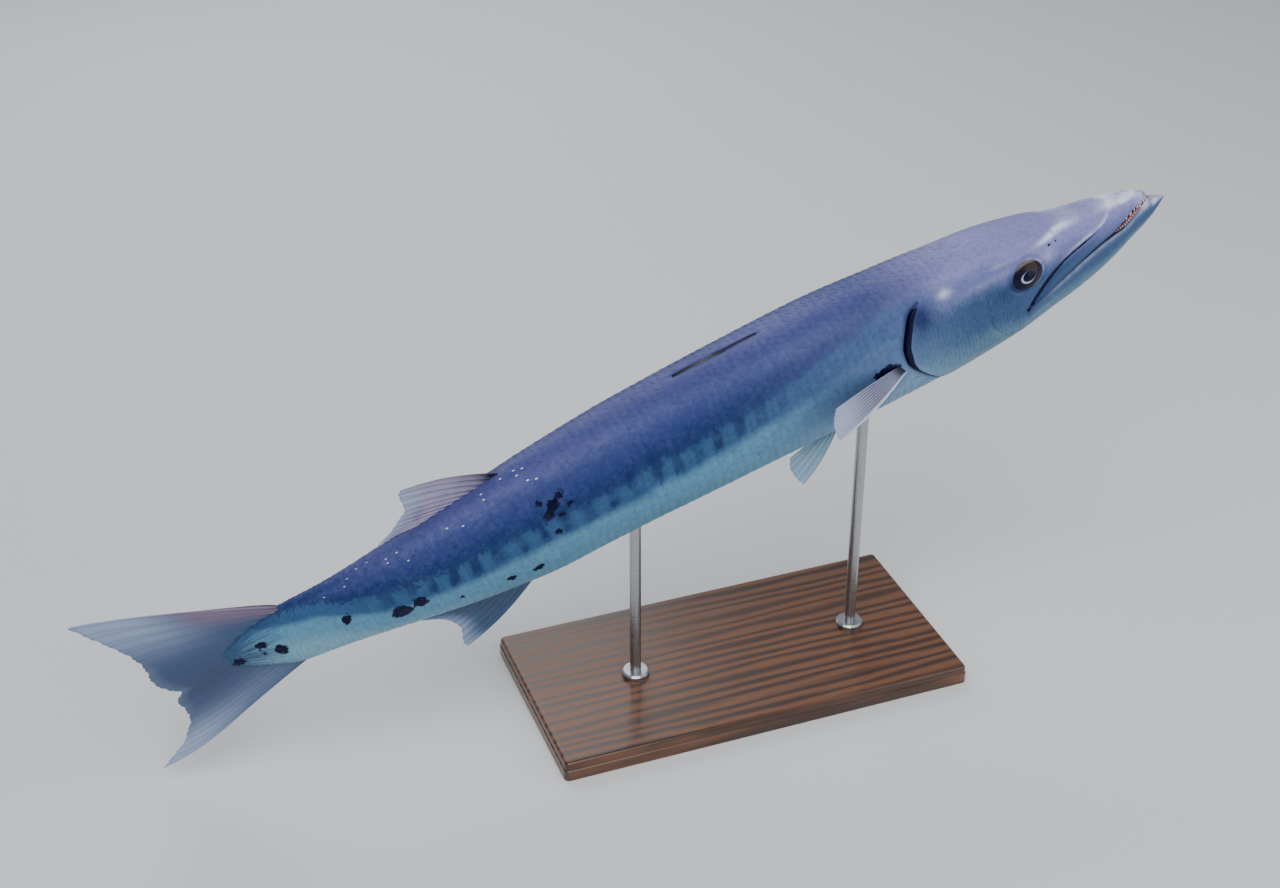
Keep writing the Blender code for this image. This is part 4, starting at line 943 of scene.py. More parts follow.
# Fold of the lips: height over the lip's edge, step outwards, share of the mouth's depth
LIP_FOLD = np.array([
    (0.0022, 0.0, 0.0), (0.0015, 0.00028, 0.0), (0.0009, 0.00046, 0.0), (0.0004, 0.00040, 0.0),
    (0.00006, 0.00008, 0.0), (-0.0001, -0.0005, 0.0), (0.0001, -0.0012, 0.0), (0.0003, -0.0020, 0.0),
    (0.0010, -0.0028, 0.05), (0.0018, -0.0032, 0.60), (0.0006, -0.0036, 1.0),
])
LIP_EDGE_ROWS = 5
# For each row of the fold: share of the gape that the lower gum rises, share of mouth lining
GUM_SWELL = np.array([0, 0, 0, 0, 0, 0, 0.10, 0.45, 0.50, 0.20, 0.0])
LINED = np.array([0, 0, 0, 0, 0.1, 0.35, 0.5, 0.5, 0.6, 0.9, 1.0])
MOUTH_DEPTH = 0.0070
# Distance before and behind the gill edge that its fold takes up
FOLD_BEFORE = 0.0075
FOLD_BEHIND = 0.0150
# Socket under the orbit's edge, and a nostril's pit: share of the radii, depth
SOCKET = [
    (1.0, 0.0006), (1.02, 0.0016), (1.13, 0.0028), (1.20, 0.0048), (1.15, 0.0085), (0.9, 0.0115),
    (0.5, 0.0136),
]
PIT = [(1.0, 0.0001), (0.86, 0.0008), (0.70, 0.0018), (0.40, 0.0024)]


def skin_rows():
    """Stations of the skin's rows as if the gill edge were straight, and each row's fold step.

    Rows lie closest at the upper lip and next closest round the jaws and eyes. The fold's
    rows all share the gill station and are told apart by their number in the fold.
    """
    front = [np.linspace(0.0008, 0.0190, 20, endpoint=False), np.linspace(0.0190, 0.0262, 20, endpoint=False),
             np.linspace(0.0262, GILL_REACH[0], 132, endpoint=False),
             np.linspace(GILL_REACH[0], GILL_STATION - FOLD_BEFORE, 58)]
    rear = [np.linspace(GILL_STATION + FOLD_BEHIND, GILL_REACH[1], 38, endpoint=False),
            np.linspace(GILL_REACH[1], PEDUNCLE_END, 96, endpoint=False),
            np.linspace(PEDUNCLE_END, FLESH_END, 26)]
    front = np.concatenate(front)
    rear = np.concatenate(rear)
    fold = np.arange(len(GILL_FOLD))
    stations = np.concatenate([front, np.full(len(fold), GILL_STATION), rear])
    step = np.concatenate([np.full(len(front), -1), fold, np.full(len(rear), -1)])
    return stations, step


def lip_size(s):
    """Lips shrink towards the thin front of the upper jaw."""
    return np.clip((smooth_curve(s, BODY, 1) - smooth_curve(s, GAPE, 2)) / 0.0045, 0.12, 1)


def skin_columns(r):
    """Girth of every column on each row: even above the mouth, in its fold and below it."""
    mouth = np.clip(r, GAPE_START + 0.0010, GAPE_END)
    high = GIRTH.girth_at(mouth, smooth_curve(mouth, GAPE, 2) + LIP_FOLD[0, 0] * lip_size(mouth))
    low = GIRTH.girth_at(mouth, smooth_curve(mouth, GAPE, 1) - LIP_FOLD[0, 0])
    behind = ease(r, 0.188, 0.30)
    before = 1 - ease(r, 0.0195, GAPE_START + 0.0010)
    high = high + (TRUNK_SHARES[0] - high) * behind
    low = low + (TRUNK_SHARES[1] - low) * behind
    high = high + (FRONT_SHARES[0] - high) * before
    low = low + (FRONT_SHARES[1] - low) * before
    fold = 2 * len(LIP_FOLD)
    upper = np.linspace(0, 1, UPPER_COLUMNS + 1)[None, :-1] * high[:, None]
    middle = high[:, None] + np.linspace(0, 1, fold)[None, :] * (low - high)[:, None]
    lower = low[:, None] + np.linspace(0, 1, LOWER_COLUMNS + 1)[None, 1:] * (1 - low)[:, None]
    return np.concatenate([upper, middle, lower], axis=1)


def skin_stations(r, step, girth):
    """Station of every point: rows bend so that one lies along the gill cover's edge."""
    edge = gill_edge(girth)
    s = np.repeat(r[:, None], girth.shape[1], axis=1)
    front_end = GILL_STATION - FOLD_BEFORE
    t = (s - GILL_REACH[0]) / (front_end - GILL_REACH[0])
    ahead = GILL_REACH[0] + t * (edge - FOLD_BEFORE - GILL_REACH[0])
    rear_start = GILL_STATION + FOLD_BEHIND
    t = (s - rear_start) / (GILL_REACH[1] - rear_start)
    after = edge + FOLD_BEHIND + t * (GILL_REACH[1] - edge - FOLD_BEHIND)
    s = np.where((s > GILL_REACH[0]) & (s <= front_end + 1e-9), ahead, s)
    s = np.where((s >= rear_start - 1e-9) & (s < GILL_REACH[1]), after, s)
    even = np.linspace(GILL_FOLD[0, 0], GILL_FOLD[-1, 0], len(GILL_FOLD))
    free = gill_open(girth)
    k = np.maximum(step, 0)[:, None]
    folded = edge + even[k] + (GILL_FOLD[k, 0] - even[k]) * free
    return np.where(step[:, None] >= 0, folded, s)


def mouth_fold(points, r, girth, side):
    """Bends the middle columns into the lips and the mouth, and gives the lining's share.

    Each lip rolls over its edge, passes the gum and runs inwards to the mouth's depth,
    which is full where the mouth gapes and shallow behind it. Also gives the share of painted
    shade along the seam where the lips are shut, and the distance outside the black painted
    shadow line between them.
    """
    count = len(LIP_FOLD)
    first = UPPER_COLUMNS
    s = r[:, None]
    top = smooth_curve(r, GAPE, 2)[:, None]
    bottom = smooth_curve(r, GAPE, 1)[:, None]
    size = lip_size(r)[:, None]
    gap = top - bottom
    open_share = span(r, 0.0226, 0.0262, 0.064, 0.100)[:, None]
    inner = 0.30 + 0.70 * open_share
    depth = np.minimum(MOUTH_DEPTH, 0.52 * side_width(r, smooth_curve(r, GAPE, 2)))[:, None] * open_share
    height = LIP_FOLD[None, :, 0]
    out = np.where(LIP_FOLD[None, :, 1] < -0.0004, LIP_FOLD[None, :, 1] * inner, LIP_FOLD[None, :, 1])
    out = out - LIP_FOLD[None, :, 2] * depth
    z_high = top + height * size
    z_high[:, -1:] = top - gap * 0.35
    z_low = bottom - height + GUM_SWELL * open_share * gap
    z_low[:, -1:] = bottom + gap * 0.25
    y_high = np.abs(points[:, first:first + 1, 1] - smooth_curve(s, SWEEP))
    y_low = np.abs(points[:, first + 2 * count - 1:first + 2 * count, 1] - smooth_curve(s, SWEEP))
    edge_high = side_width(s, z_high) - side_width(s, z_high[:, :1])
    edge_low = side_width(s, z_low) - side_width(s, z_low[:, :1])
    high = np.stack(np.broadcast_arrays(s, np.maximum(y_high + edge_high + out * size, 0.0006), z_high), -1)
    low = np.stack(np.broadcast_arrays(s, np.maximum(y_low + edge_low + out, 0.0006), z_low), -1)
    folded = np.concatenate([high, low[:, ::-1]], axis=1)
    folded[..., 1] = side * folded[..., 1] + smooth_curve(s, SWEEP)
    share = span(r, GAPE_START, 0.0232, 0.186, GAPE_END + 0.006)[:, None, None]
    middle = points[:, first:first + 2 * count]
    points[:, first:first + 2 * count] = middle + (folded - middle) * share
    lining = np.zeros(girth.shape)
    fold = np.concatenate([LINED, LINED[::-1]]) * share[..., 0]
    lining[:, first:first + 2 * count] = fold * open_share
    # painted shade along the seam of the shut lips
    painted_seam_light_and_shade = np.zeros(girth.shape)
    painted_seam_light_and_shade[:, first:first + 2 * count] = np.clip(fold * 3, 0, 1) * (1 - open_share)
    tip = span(r, 0.004, 0.010, 0.019, 0.022)[:, None] * (1 - ease(girth, 0.16, 0.30))
    tall = np.where(np.arange(count) < LIP_EDGE_ROWS, LIP_FOLD[:, 0], 0.0)
    wide = 0.0003 + 0.0011 * (1 - ease(r, 0.085, 0.150))
    past = np.maximum(np.maximum(0.062 - r, r - 0.160), 0)
    # black painted shadow line between the shut lips
    shut = np.full(girth.shape, FAR)
    shut[:, first:first + 2 * count] = np.concatenate([tall, tall[::-1]])[None, :] + (past - wide)[:, None]
    return points, np.maximum(lining, 0.26 * tip), painted_seam_light_and_shade, shut


def hole_rows(r, girth, centre, radii, spread):
    """Rows and columns of the grid that frame a hole round an ellipse."""
    i0 = int(np.argmin(np.abs(r - (centre[0] - radii[0] - spread))))
    i1 = int(np.argmin(np.abs(r - (centre[0] + radii[0] + spread))))
    middle = int(np.argmin(np.abs(r - centre[0])))
    z = bare_point(r[middle], girth[middle])[..., 2]
    j0 = int(np.argmin(np.abs(z - (centre[1] + radii[1] + spread))))
    j1 = int(np.argmin(np.abs(z - (centre[1] - radii[1] - spread))))
    return i0, i1, j0, j1


def frame_loop(i0, i1, j0, j1):
    """Grid places round the frame of a hole, in order."""
    loop = [(i, j0) for i in range(i0, i1)]
    loop += [(i1, j) for j in range(j0, j1)]
    loop += [(i, j1) for i in range(i1, i0, -1)]
    loop += [(i0, j) for j in range(j1, j0, -1)]
    return np.array(loop)


def ring_patch(s, girth, loop, centre, radii, rings, well):
    """Places and depths of the rings from a frame in to an ellipse and down its well.

    Between the frame and the ellipse the places are a straight mix along each spoke, with
    rings closer at the ellipse; in the well they are the ellipse grown or shrunk.
    """
    frame_s = s[loop[:, 0], loop[:, 1]]
    frame_g = girth[loop[:, 0], loop[:, 1]]
    z = bare_point(frame_s, frame_g)[..., 2]
    turn = np.arctan2((z - centre[1]) / radii[1], (frame_s - centre[0]) / radii[0])
    places = []
    for k in range(1, rings + 1):
        t = 1 - (1 - k / rings) ** 1.35
        edge_s = centre[0] + radii[0] * np.cos(turn)
        edge_g = GIRTH.girth_at(edge_s, centre[1] + radii[1] * np.sin(turn))
        places.append((frame_s + (edge_s - frame_s) * t, frame_g + (edge_g - frame_g) * t, 0 * turn, t * 0.6))
    for share, depth in well:
        edge_s = centre[0] + radii[0] * share * np.cos(turn)
        edge_g = GIRTH.girth_at(edge_s, centre[1] + radii[1] * share * np.sin(turn))
        places.append((edge_s, edge_g, -depth + 0 * turn, 0.6 + 0.35 * depth / well[-1][1]))
    middle = GIRTH.girth_at(centre[0], centre[1])
    return places, middle


# Free edge of the skin's bake map, along and round
BAKE_EDGE = (0.008, 0.002)


def for_side(faces, uv, side):
    """Faces and their places in the bake map as they are on the right, mirrored on the left."""
    if side < 0:
        return faces, uv
    return faces[:, ::-1], (uv * [1, -1] + [0, 1])[:, ::-1]


def skin_piece(material):
    """One closed skin from the jaw tip into the tail fin.

    A grid of rows along and columns round the fish, each half mirrored, with round patches
    of rings set in for the eye sockets and nostrils.
    """
    r, step = skin_rows()
    girth = skin_columns(r)
    s = skin_stations(r, step, girth)
    rows, columns = girth.shape
    around = 2 * (columns - 1)
    rise = np.where(step >= 0, GILL_FOLD[np.maximum(step, 0), 1], 0.0)[:, None] * gill_open(girth)
    rise = rise - GILL_SWELLING * gill_open(girth) * (s < gill_edge(girth)) * (step >= 0)[:, None]
    points = np.zeros((rows, around, 3))
    values = {}
    holes = [(EYE, ORBIT, 0.0085, 22, SOCKET)]
    holes += [(n[:2], n[2:], 0.0020, 4, PIT) for n in NOSTRILS]
    frames = [hole_rows(r, girth, centre, radii, spread) for centre, radii, spread, _, _ in holes]
    extra_points = []
    extra_values = []
    quads = []
    triangles = []
    quad_bake = []
    triangle_bake = []
    total = rows * around
    bake_rows = np.arange(rows) / (rows - 1)
    bake_columns = np.arange(columns) / (columns - 1) * 0.5
    for side in (-1, 1):
        half = skin_point(s, girth, side, rise)
        half, lining, painted_seam_light_and_shade, shut = mouth_fold(half, r, girth, side)
        here = body_fields(s, girth, side)
        here["lining"] = lining
        # the painted shade of the shut lips joins the painted shade share
        here["shade"] = np.maximum(here["shade"], painted_seam_light_and_shade)
        here["painted_shade_line"] = np.minimum(here["painted_shade_line"], shut)
        index = np.arange(columns) if side < 0 else (around - np.arange(columns)) % around
        points[:, index] = half
        for key, item in here.items():
            values.setdefault(key, np.zeros((rows, around)))[:, index] = np.broadcast_to(item, girth.shape)
        i, j = np.meshgrid(np.arange(rows - 1), np.arange(columns - 1), indexing="ij")
        keep = np.ones(i.shape, bool)
        for i0, i1, j0, j1 in frames:
            keep[i0:i1, j0:j1] = False
        i = i[keep]
        j = j[keep]
        faces = np.stack([i * around + index[j], i * around + index[j + 1],
                          (i + 1) * around + index[j + 1], (i + 1) * around + index[j]], -1)
        u = np.stack([bake_rows[i], bake_rows[i], bake_rows[i + 1], bake_rows[i + 1]], -1)
        v = np.stack([bake_columns[j], bake_columns[j + 1], bake_columns[j + 1], bake_columns[j]], -1)
        v = v if side < 0 else 1 - v
        uv = np.stack([u, v], -1)
        if side < 0:
            faces = faces[:, ::-1]
            uv = uv[:, ::-1]
        quads.append(faces)
        quad_bake.append(uv)
        for (centre, radii, _, rings, well), corner in zip(holes, frames):
            loop = frame_loop(*corner)
            size = len(loop)
            places, middle = ring_patch(s, girth, loop, centre, radii, rings, well)
            ring = loop[:, 0] * around + index[loop[:, 1]]
            frame_uv = np.stack([bake_rows[loop[:, 0]], bake_columns[loop[:, 1]]], -1)
            centre_uv = frame_uv.mean(0)
            ring_uv = frame_uv
            for ring_s, ring_g, lift, share in places:
                fresh = total + np.arange(size)
                total += size
                extra_points.append(skin_point(ring_s, ring_g, side, lift))
                more = body_fields(ring_s, ring_g, side)
                more["lining"] = 0 * ring_s
                # deep in the eye socket and the nostril pits the skin is painted black as shade
                more["painted_shade_line"] = np.where(lift < -0.0012, -0.01, more["painted_shade_line"])
                extra_values.append(more)
                fresh_uv = frame_uv + (centre_uv - frame_uv) * share
                turned = np.stack([ring, np.roll(ring, -1), np.roll(fresh, -1), fresh], -1)
                uv = np.stack([ring_uv, np.roll(ring_uv, -1, 0), np.roll(fresh_uv, -1, 0), fresh_uv], 1)
                turned, uv = for_side(turned, uv, side)
                quads.append(turned)
                quad_bake.append(uv)
                ring = fresh
                ring_uv = fresh_uv
            deep_s = np.array([centre[0]])
            deep_g = np.array([middle])
            extra_points.append(skin_point(deep_s, deep_g, side, np.array([-well[-1][1] * 1.05])))
            more = body_fields(deep_s, deep_g, side)
            more["lining"] = np.zeros(1)
            # the bottom of the socket and of each pit is painted black as shade
            more["painted_shade_line"] = np.array([-0.01])
            extra_values.append(more)
            cap = np.stack([ring, np.roll(ring, -1), np.full(size, total)], -1)
            uv = np.stack([ring_uv, np.roll(ring_uv, -1, 0), np.repeat(centre_uv[None], size, 0)], 1)
            cap, uv = for_side(cap, uv, side)
            triangles.append(cap)
            triangle_bake.append(uv)
            total += 1
    for row, tip_s, turn in ((0, 0.0002, 1), (rows - 1, FLESH_END + 0.0012, -1)):
        ring = row * around + np.arange(around)
        middle = points[row].mean(0)
        middle[0] = tip_s
        extra_points.append(middle[None])
        extra_values.append({key: values[key][row, :1] for key in values})
        cap = np.stack([ring, np.roll(ring, -1), np.full(around, total)], -1)[:, ::turn]
        place_uv = np.stack([np.full(around, bake_rows[row]), np.arange(around) / around], -1)
        next_uv = place_uv + [0, 1 / around]
        inner_uv = (place_uv + next_uv) / 2 + [0.002 * -turn, 0]
        triangles.append(cap)
        triangle_bake.append(np.stack([place_uv, next_uv, inner_uv], 1)[:, ::turn])
        total += 1
    points = np.concatenate([points.reshape(-1, 3)] + [p.reshape(-1, 3) for p in extra_points])
    fields = {key: np.concatenate([values[key].ravel()] + [np.ravel(v[key]) for v in extra_values])
              for key in values}
    quads = np.concatenate(quads)
    triangles = np.concatenate(triangles)
    bake = np.concatenate([np.concatenate(item).reshape(-1, 2) for item in (quad_bake, triangle_bake)])
    bake = bake * [1 - 2 * BAKE_EDGE[0], 1 - 2 * BAKE_EDGE[1]] + BAKE_EDGE
    return make_mesh("skin", points, quads, fields, bake, material, triangles)


# Outline of a scale: share of its length, share of its half width
SCALE_ROWS = np.array([(0.0, 0.60), (0.30, 0.95), (0.62, 1.0), (0.87, 0.80), (1.0, 0.44)])
SCALE_COLUMNS = np.array([-1.0, -0.55, 0.0, 0.55, 1.0])
TRUNK_RING = 52
CHEEK_RING = 84
SCALE_OVERLAP = 1.50
GLINT_SHARE = 0.20
# Size of one scale's place in the bake map
PATCH = 0.003


def ring_of_roots(rng, s, ring, pitch, count, first, width, wander):
    """One ring of scale roots: station, girth, pitch, half width and a chance value for each.

    The roots stand evenly round the ring, every other ring turned half a scale, and each
    wanders a little along and round.
    """
    girth = (np.arange(count // 2) + 0.5 * (ring % 2) + first) / (count / 2)
    jitter = rng.normal(size=(3, len(girth)))
    station = s + jitter[0] * pitch * wander[0]
    girth = np.clip(girth + jitter[1] * wander[1], 0.0, 1.0)
    half = 0.5 * width / (count / 2)
    return np.stack([station, girth, np.full(len(girth), pitch), np.full(len(girth), half), jitter[2]], -1)


def scale_places():
    """Roots of the scales in rings that step back along the fish.

    The step shrinks towards the tail. Bare places are left out: head, gill opening, groove.
    """
    sizes = bpy.context.scene.barracuda_sizes
    rng = np.random.default_rng(7)
    found = []
    s = 0.214
    ring = 0
    while s < FLESH_END - 0.010:
        pitch = sizes.scale_pitch + (sizes.tail_pitch - sizes.scale_pitch) * float(ease(s, 0.62, 1.02))
        roots = ring_of_roots(rng, s, ring, pitch, TRUNK_RING, 0.25, 1.16, (0.045, 0.0012))
        station, girth = roots[:, 0], roots[:, 1]
        y, z = np.moveaxis(bare_point(station, girth)[..., 1:], -1, 0)
        behind = station - gill_edge(girth) > 0.0105
        nape = (girth < GILL_TOP - 0.015) & (station > 0.222 + 0.25 * girth)
        throat = (girth > GILL_FOOT + 0.02) & (station > 0.285)
        groove = (y < 0.0062) & (station > GROOVE[0] - 0.012) & (station < GROOVE[1] + 0.004) & (z > 0)
        found.append(roots[(behind | nape | throat) & ~groove & (station < FLESH_END - 0.012)])
        s += pitch
        ring += 1
    return np.concatenate(found)


def cheek_places():
    """Roots of the small scales on the cheek and gill cover, on the same kind of rings."""
    sizes = bpy.context.scene.barracuda_sizes
    rng = np.random.default_rng(8)
    pitch = sizes.cheek_pitch
    found = []
    for ring, s in enumerate(np.arange(0.196, 0.330, pitch)):
        roots = ring_of_roots(rng, s, ring, pitch, CHEEK_RING, 0.0, 1.12, (0.06, 0.0))
        station, girth = roots[:, 0], roots[:, 1]
        z = bare_point(station, girth)[..., 2]
        clear = ellipse_reach(station, z, EYE, ORBIT) > 1.55
        inside = (station < gill_edge(girth) - 0.0125) & (girth > 0.30)
        above = girth < 0.76 - 0.9 * (station - 0.20)
        off_bone = np.abs(station - cheek_bone(z) - 0.001) > 0.0034
        found.append(roots[clear & inside & above & off_bone & (z < 0.040)])
    return np.concatenate(found)


def scale_piece(name, places, rise, sink, material):
    """Overlapping scales of both sides as one mesh of closed plates.

    Each plate is a grid of its length by its width laid on the skin: its width follows the
    outline, its free edge is rounded and stands the rise above the root, which is sunk
    under the skin, and its middle is a little domed. Scales of the lateral line carry a
    low ridge, and a few near the tail a small painted glint.
    """
    sizes = bpy.context.scene.barracuda_sizes
    thickness = sizes.scale_thickness
    p = np.repeat(SCALE_ROWS[:, :1], len(SCALE_COLUMNS), axis=1)
    q = SCALE_ROWS[:, 1:2] * SCALE_COLUMNS[None, :]
    rows, columns = p.shape
    count = rows * columns
    plate = sheet_faces(rows, columns)
    patch = np.stack([p, (q + 1) / 2], -1).reshape(-1, 2) * PATCH * 0.46
    patch = np.concatenate([patch, patch + [PATCH * 0.52, 0]])
    all_points = []
    all_faces = []
    all_bake = []
    all_fields = {}
    total = 0
    root_s, root_g, pitch, half, chance = places.T
    for side in (-1, 1):
        back = (p - 0.22 - 0.10 * SCALE_COLUMNS[None, :] ** 2 * p) * (pitch * SCALE_OVERLAP)[:, None, None]
        s = root_s[:, None, None] + back
        g = np.clip(root_g[:, None, None] + q * half[:, None, None], 0.0, 1.0)
        lift = -sink + (rise + 0.00004 * chance[:, None, None]) * p - 0.00008 * q ** 2
        line = GIRTH.girth_at(root_s, smooth_curve(root_s, LATERAL_LINE))
        pored = (np.abs(root_g - line) < 0.6 / TRUNK_RING * 2) & (root_s > 0.30)
        lift = lift + pored[:, None, None] * 0.0005 * bell(SCALE_COLUMNS, 0.5) * p
        top = skin_point(s, g, side, lift)
        low = skin_point(s, g, side, lift - thickness * (1 - 0.4 * p))
        points = np.concatenate([top.reshape(len(places), -1, 3), low.reshape(len(places), -1, 3)], axis=1)
        faces = faces_outward(points[len(points) // 2], plate)
        starts = total + np.arange(len(places))[:, None, None] * 2 * count
        all_faces.append((starts + faces[None]).reshape(-1, 4))
        root = np.stack([0.008 + 0.984 * root_s / FLESH_END, 0.002 + 0.498 * root_g], -1)
        if side > 0:
            root[:, 1] = 1 - root[:, 1] - PATCH
        bake = root[:, None, None, :] + patch[faces][None]
        all_bake.append(bake.reshape(-1, 2))
        here = body_fields(s, g, side)
        here["rim"] = np.broadcast_to(np.maximum(p, np.abs(SCALE_COLUMNS)[None, :] * 0.9), s.shape)
        rng = np.random.default_rng(21 + side)
        tone = rng.uniform(size=len(places))
        # painted glints on a few scales along the back
        along_back = np.abs(root_g - 0.14 - 0.06 * np.sin(root_s * 40)) < 0.050
        glint = (rng.uniform(size=len(places)) < GLINT_SHARE) * along_back * (root_s > 0.70) * (root_s < 0.95)
        here["tone"] = np.broadcast_to(tone[:, None, None], s.shape)
        here["glint"] = np.broadcast_to(glint[:, None, None] * (p > 0.8) * (np.abs(q) < 0.2), s.shape)
        for key, item in here.items():
            flat = np.broadcast_to(item, s.shape).reshape(len(places), -1)
            all_fields.setdefault(key, []).append(np.concatenate([flat, flat], axis=1).ravel())
        all_points.append(points.reshape(-1, 3))
        total += len(places) * 2 * count
    fields = {key: np.concatenate(item) for key, item in all_fields.items()}
    return make_mesh(name, np.concatenate(all_points), np.concatenate(all_faces), fields,
                     np.concatenate(all_bake), material, crease=45)


def eye_axes(side):
    """Surface point of the eye and its axes: along the head, across it, outwards."""
    s, z = EYE
    step = 0.012

    def at(ds, dz):
        return np.array([s + ds, side * side_width(s + ds, z + dz), z + dz])
    centre = at(0, 0)
    along = at(step, 0) - centre
    along /= np.linalg.norm(along)
    out = np.cross(along, at(0, step) - at(0, -step)) * -side
    out /= np.linalg.norm(out)
    return centre, along, np.cross(out, along) * np.sign(np.cross(out, along)[2]), out


PUPIL_BLACK = (0.002, 0.004, 0.026)


def eye_finish():
    """Wet eye: black pupil, silver crescent round it, flecked bronze iris, pale rim over the top."""
    c = colours()
    material, tree, shader = new_finish("fish_eye", 0.14, 0.0, 0.03, 0.05, 0.12)
    ring = field(tree, "ring")
    crescent = field(tree, "crescent")
    streaks = grain(tree, 700.0, 4.0, 0.7)
    flecked = blend(tree, stretch(tree, streaks, 0.35, 0.65, 0.0, 0.6), c.bronze, c.black)
    iris = blend(tree, stretch(tree, crescent, 0.25, 0.75, 0.0, 0.75), flecked, c.black)
    top = stretch(tree, crescent, 0.75, 0.25)
    arc = times(tree, stretch(tree, ring, 0.94, 1.06, 0.0, 0.55), top)
    ringed = blend(tree, arc, iris, c.gold)
    outer = plus(tree, PUPIL + 0.045, times(tree, stretch(tree, crescent, 0.35, 1.0), 0.10))
    inside = stretch(tree, minus(tree, outer, ring), -0.015, 0.030)
    silver = blend(tree, stretch(tree, streaks, 0.30, 0.70, 0.0, 0.3), c.silver, c.gold)
    strong = stretch(tree, crescent, 0.20, 0.72, 0.16, 1.0)
    lit = blend(tree, times(tree, inside, strong), ringed, silver)
    pupil = blend(tree, stretch(tree, ring, PUPIL + 0.015, PUPIL - 0.010), lit, PUPIL_BLACK)
    paint_with(tree, shader, pupil)
    bump(tree, shader, streaks, 0.0001, 0.3)
    return material


def eye_piece(name, side, material):
    """Flattened ball: an ellipsoid sunk in its socket, with the lens a low dome in the pupil.

    The pupil is an oval drawn out a little forwards; ring counts 0 at its centre and 1 at
    the orbit's edge.
    """
    centre, along, across, out = eye_axes(side)
    count = 72
    turn = np.arange(count) * 2 * math.pi / count
    rear = 1.55
    tilt = [np.linspace(0.012, 0.42, 26), np.linspace(0.45, rear, 30), np.linspace(1.6, 3.12, 14)]
    tilt = np.concatenate(tilt)
    t, a = np.meshgrid(tilt, turn, indexing="ij")
    flat_a = np.sin(t) * np.cos(a)
    flat_b = np.sin(t) * np.sin(a)
    high = EYE_RADII[2] * np.cos(t) - EYE_SINK
    forward = np.maximum(-flat_a, 0)
    ring = np.hypot(flat_a / (1 + 0.18 * ease(forward, 0, 0.3)) * EYE_RADII[0] / ORBIT[0],
                    flat_b * 1.06 * EYE_RADII[1] / ORBIT[1])
    ring = np.where(t > rear, 1.3, ring)
    high = high - 0.0004 * (1 - ease(ring, PUPIL, PUPIL + 0.10))
    high = high + 0.0008 * np.sqrt(np.clip(1 - (ring / PUPIL) ** 2, 0, 1))
    points = centre + (flat_a * EYE_RADII[0])[..., None] * along + (flat_b * EYE_RADII[1])[..., None] * across
    points = points + high[..., None] * out
    crescent = 0.5 + 0.5 * np.cos(a + 0.55)
    poles = centre + np.outer([EYE_RADII[2] - EYE_SINK + 0.0004, -EYE_RADII[2] - EYE_SINK], out)
    points = np.concatenate([points.reshape(-1, 3), poles])
    faces, triangles = capped_faces(points, len(tilt), count)
    fields = {"ring": np.append(ring.ravel(), [0, 1.3]), "crescent": np.append(crescent.ravel(), [0, 0])}
    return make_mesh(name, points, faces, fields, None, material, triangles)


def tooth_finish():
    """Ivory teeth, a little browner and duller at the root."""
    c = colours()
    material, tree, shader = new_finish("teeth", 0.22, 0.0, 0.5, 0.08)
    root = blend(tree, stretch(tree, field(tree, "up"), 0.0, 0.5), c.gum, c.tooth)
    worn = blend(tree, times(tree, grain(tree, 600.0), 0.25), root, c.gold)
    paint_with(tree, shader, worn)
    let_light_in(shader, 0.1, (0.002, 0.0015, 0.001))
    return material


# Fangs: station, upper or lower jaw, share of the longest one's length, root radius
FANGS = [
    (0.0292, 1, 0.55, 0.0012), (0.0335, 1, 0.75, 0.0014), (0.0395, 1, 1.00, 0.0019),
    (0.0440, 1, 0.60, 0.0012), (0.0500, 1, 0.85, 0.0017), (0.0560, 1, 0.55, 0.0012),
    (0.0265, -1, 0.60, 0.0012), (0.0300, -1, 0.50, 0.0010), (0.0362, -1, 0.62, 0.0013),
]


def tooth_list():
    """Station, jaw, length and root radius of each tooth: fangs first, then the small row."""
    long = bpy.context.scene.barracuda_sizes.fang
    teeth = [(s, jaw, share * long, radius) for s, jaw, share, radius in FANGS]
    rng = np.random.default_rng(3)
    for s in np.arange(0.0610, 0.0780, 0.0026):
        teeth.append((s, 1, long * rng.uniform(0.22, 0.32), 0.0007))
    for s in np.arange(0.0420, 0.0740, 0.0030):
        teeth.append((s, -1, long * rng.uniform(0.26, 0.42), 0.0008))
    return teeth


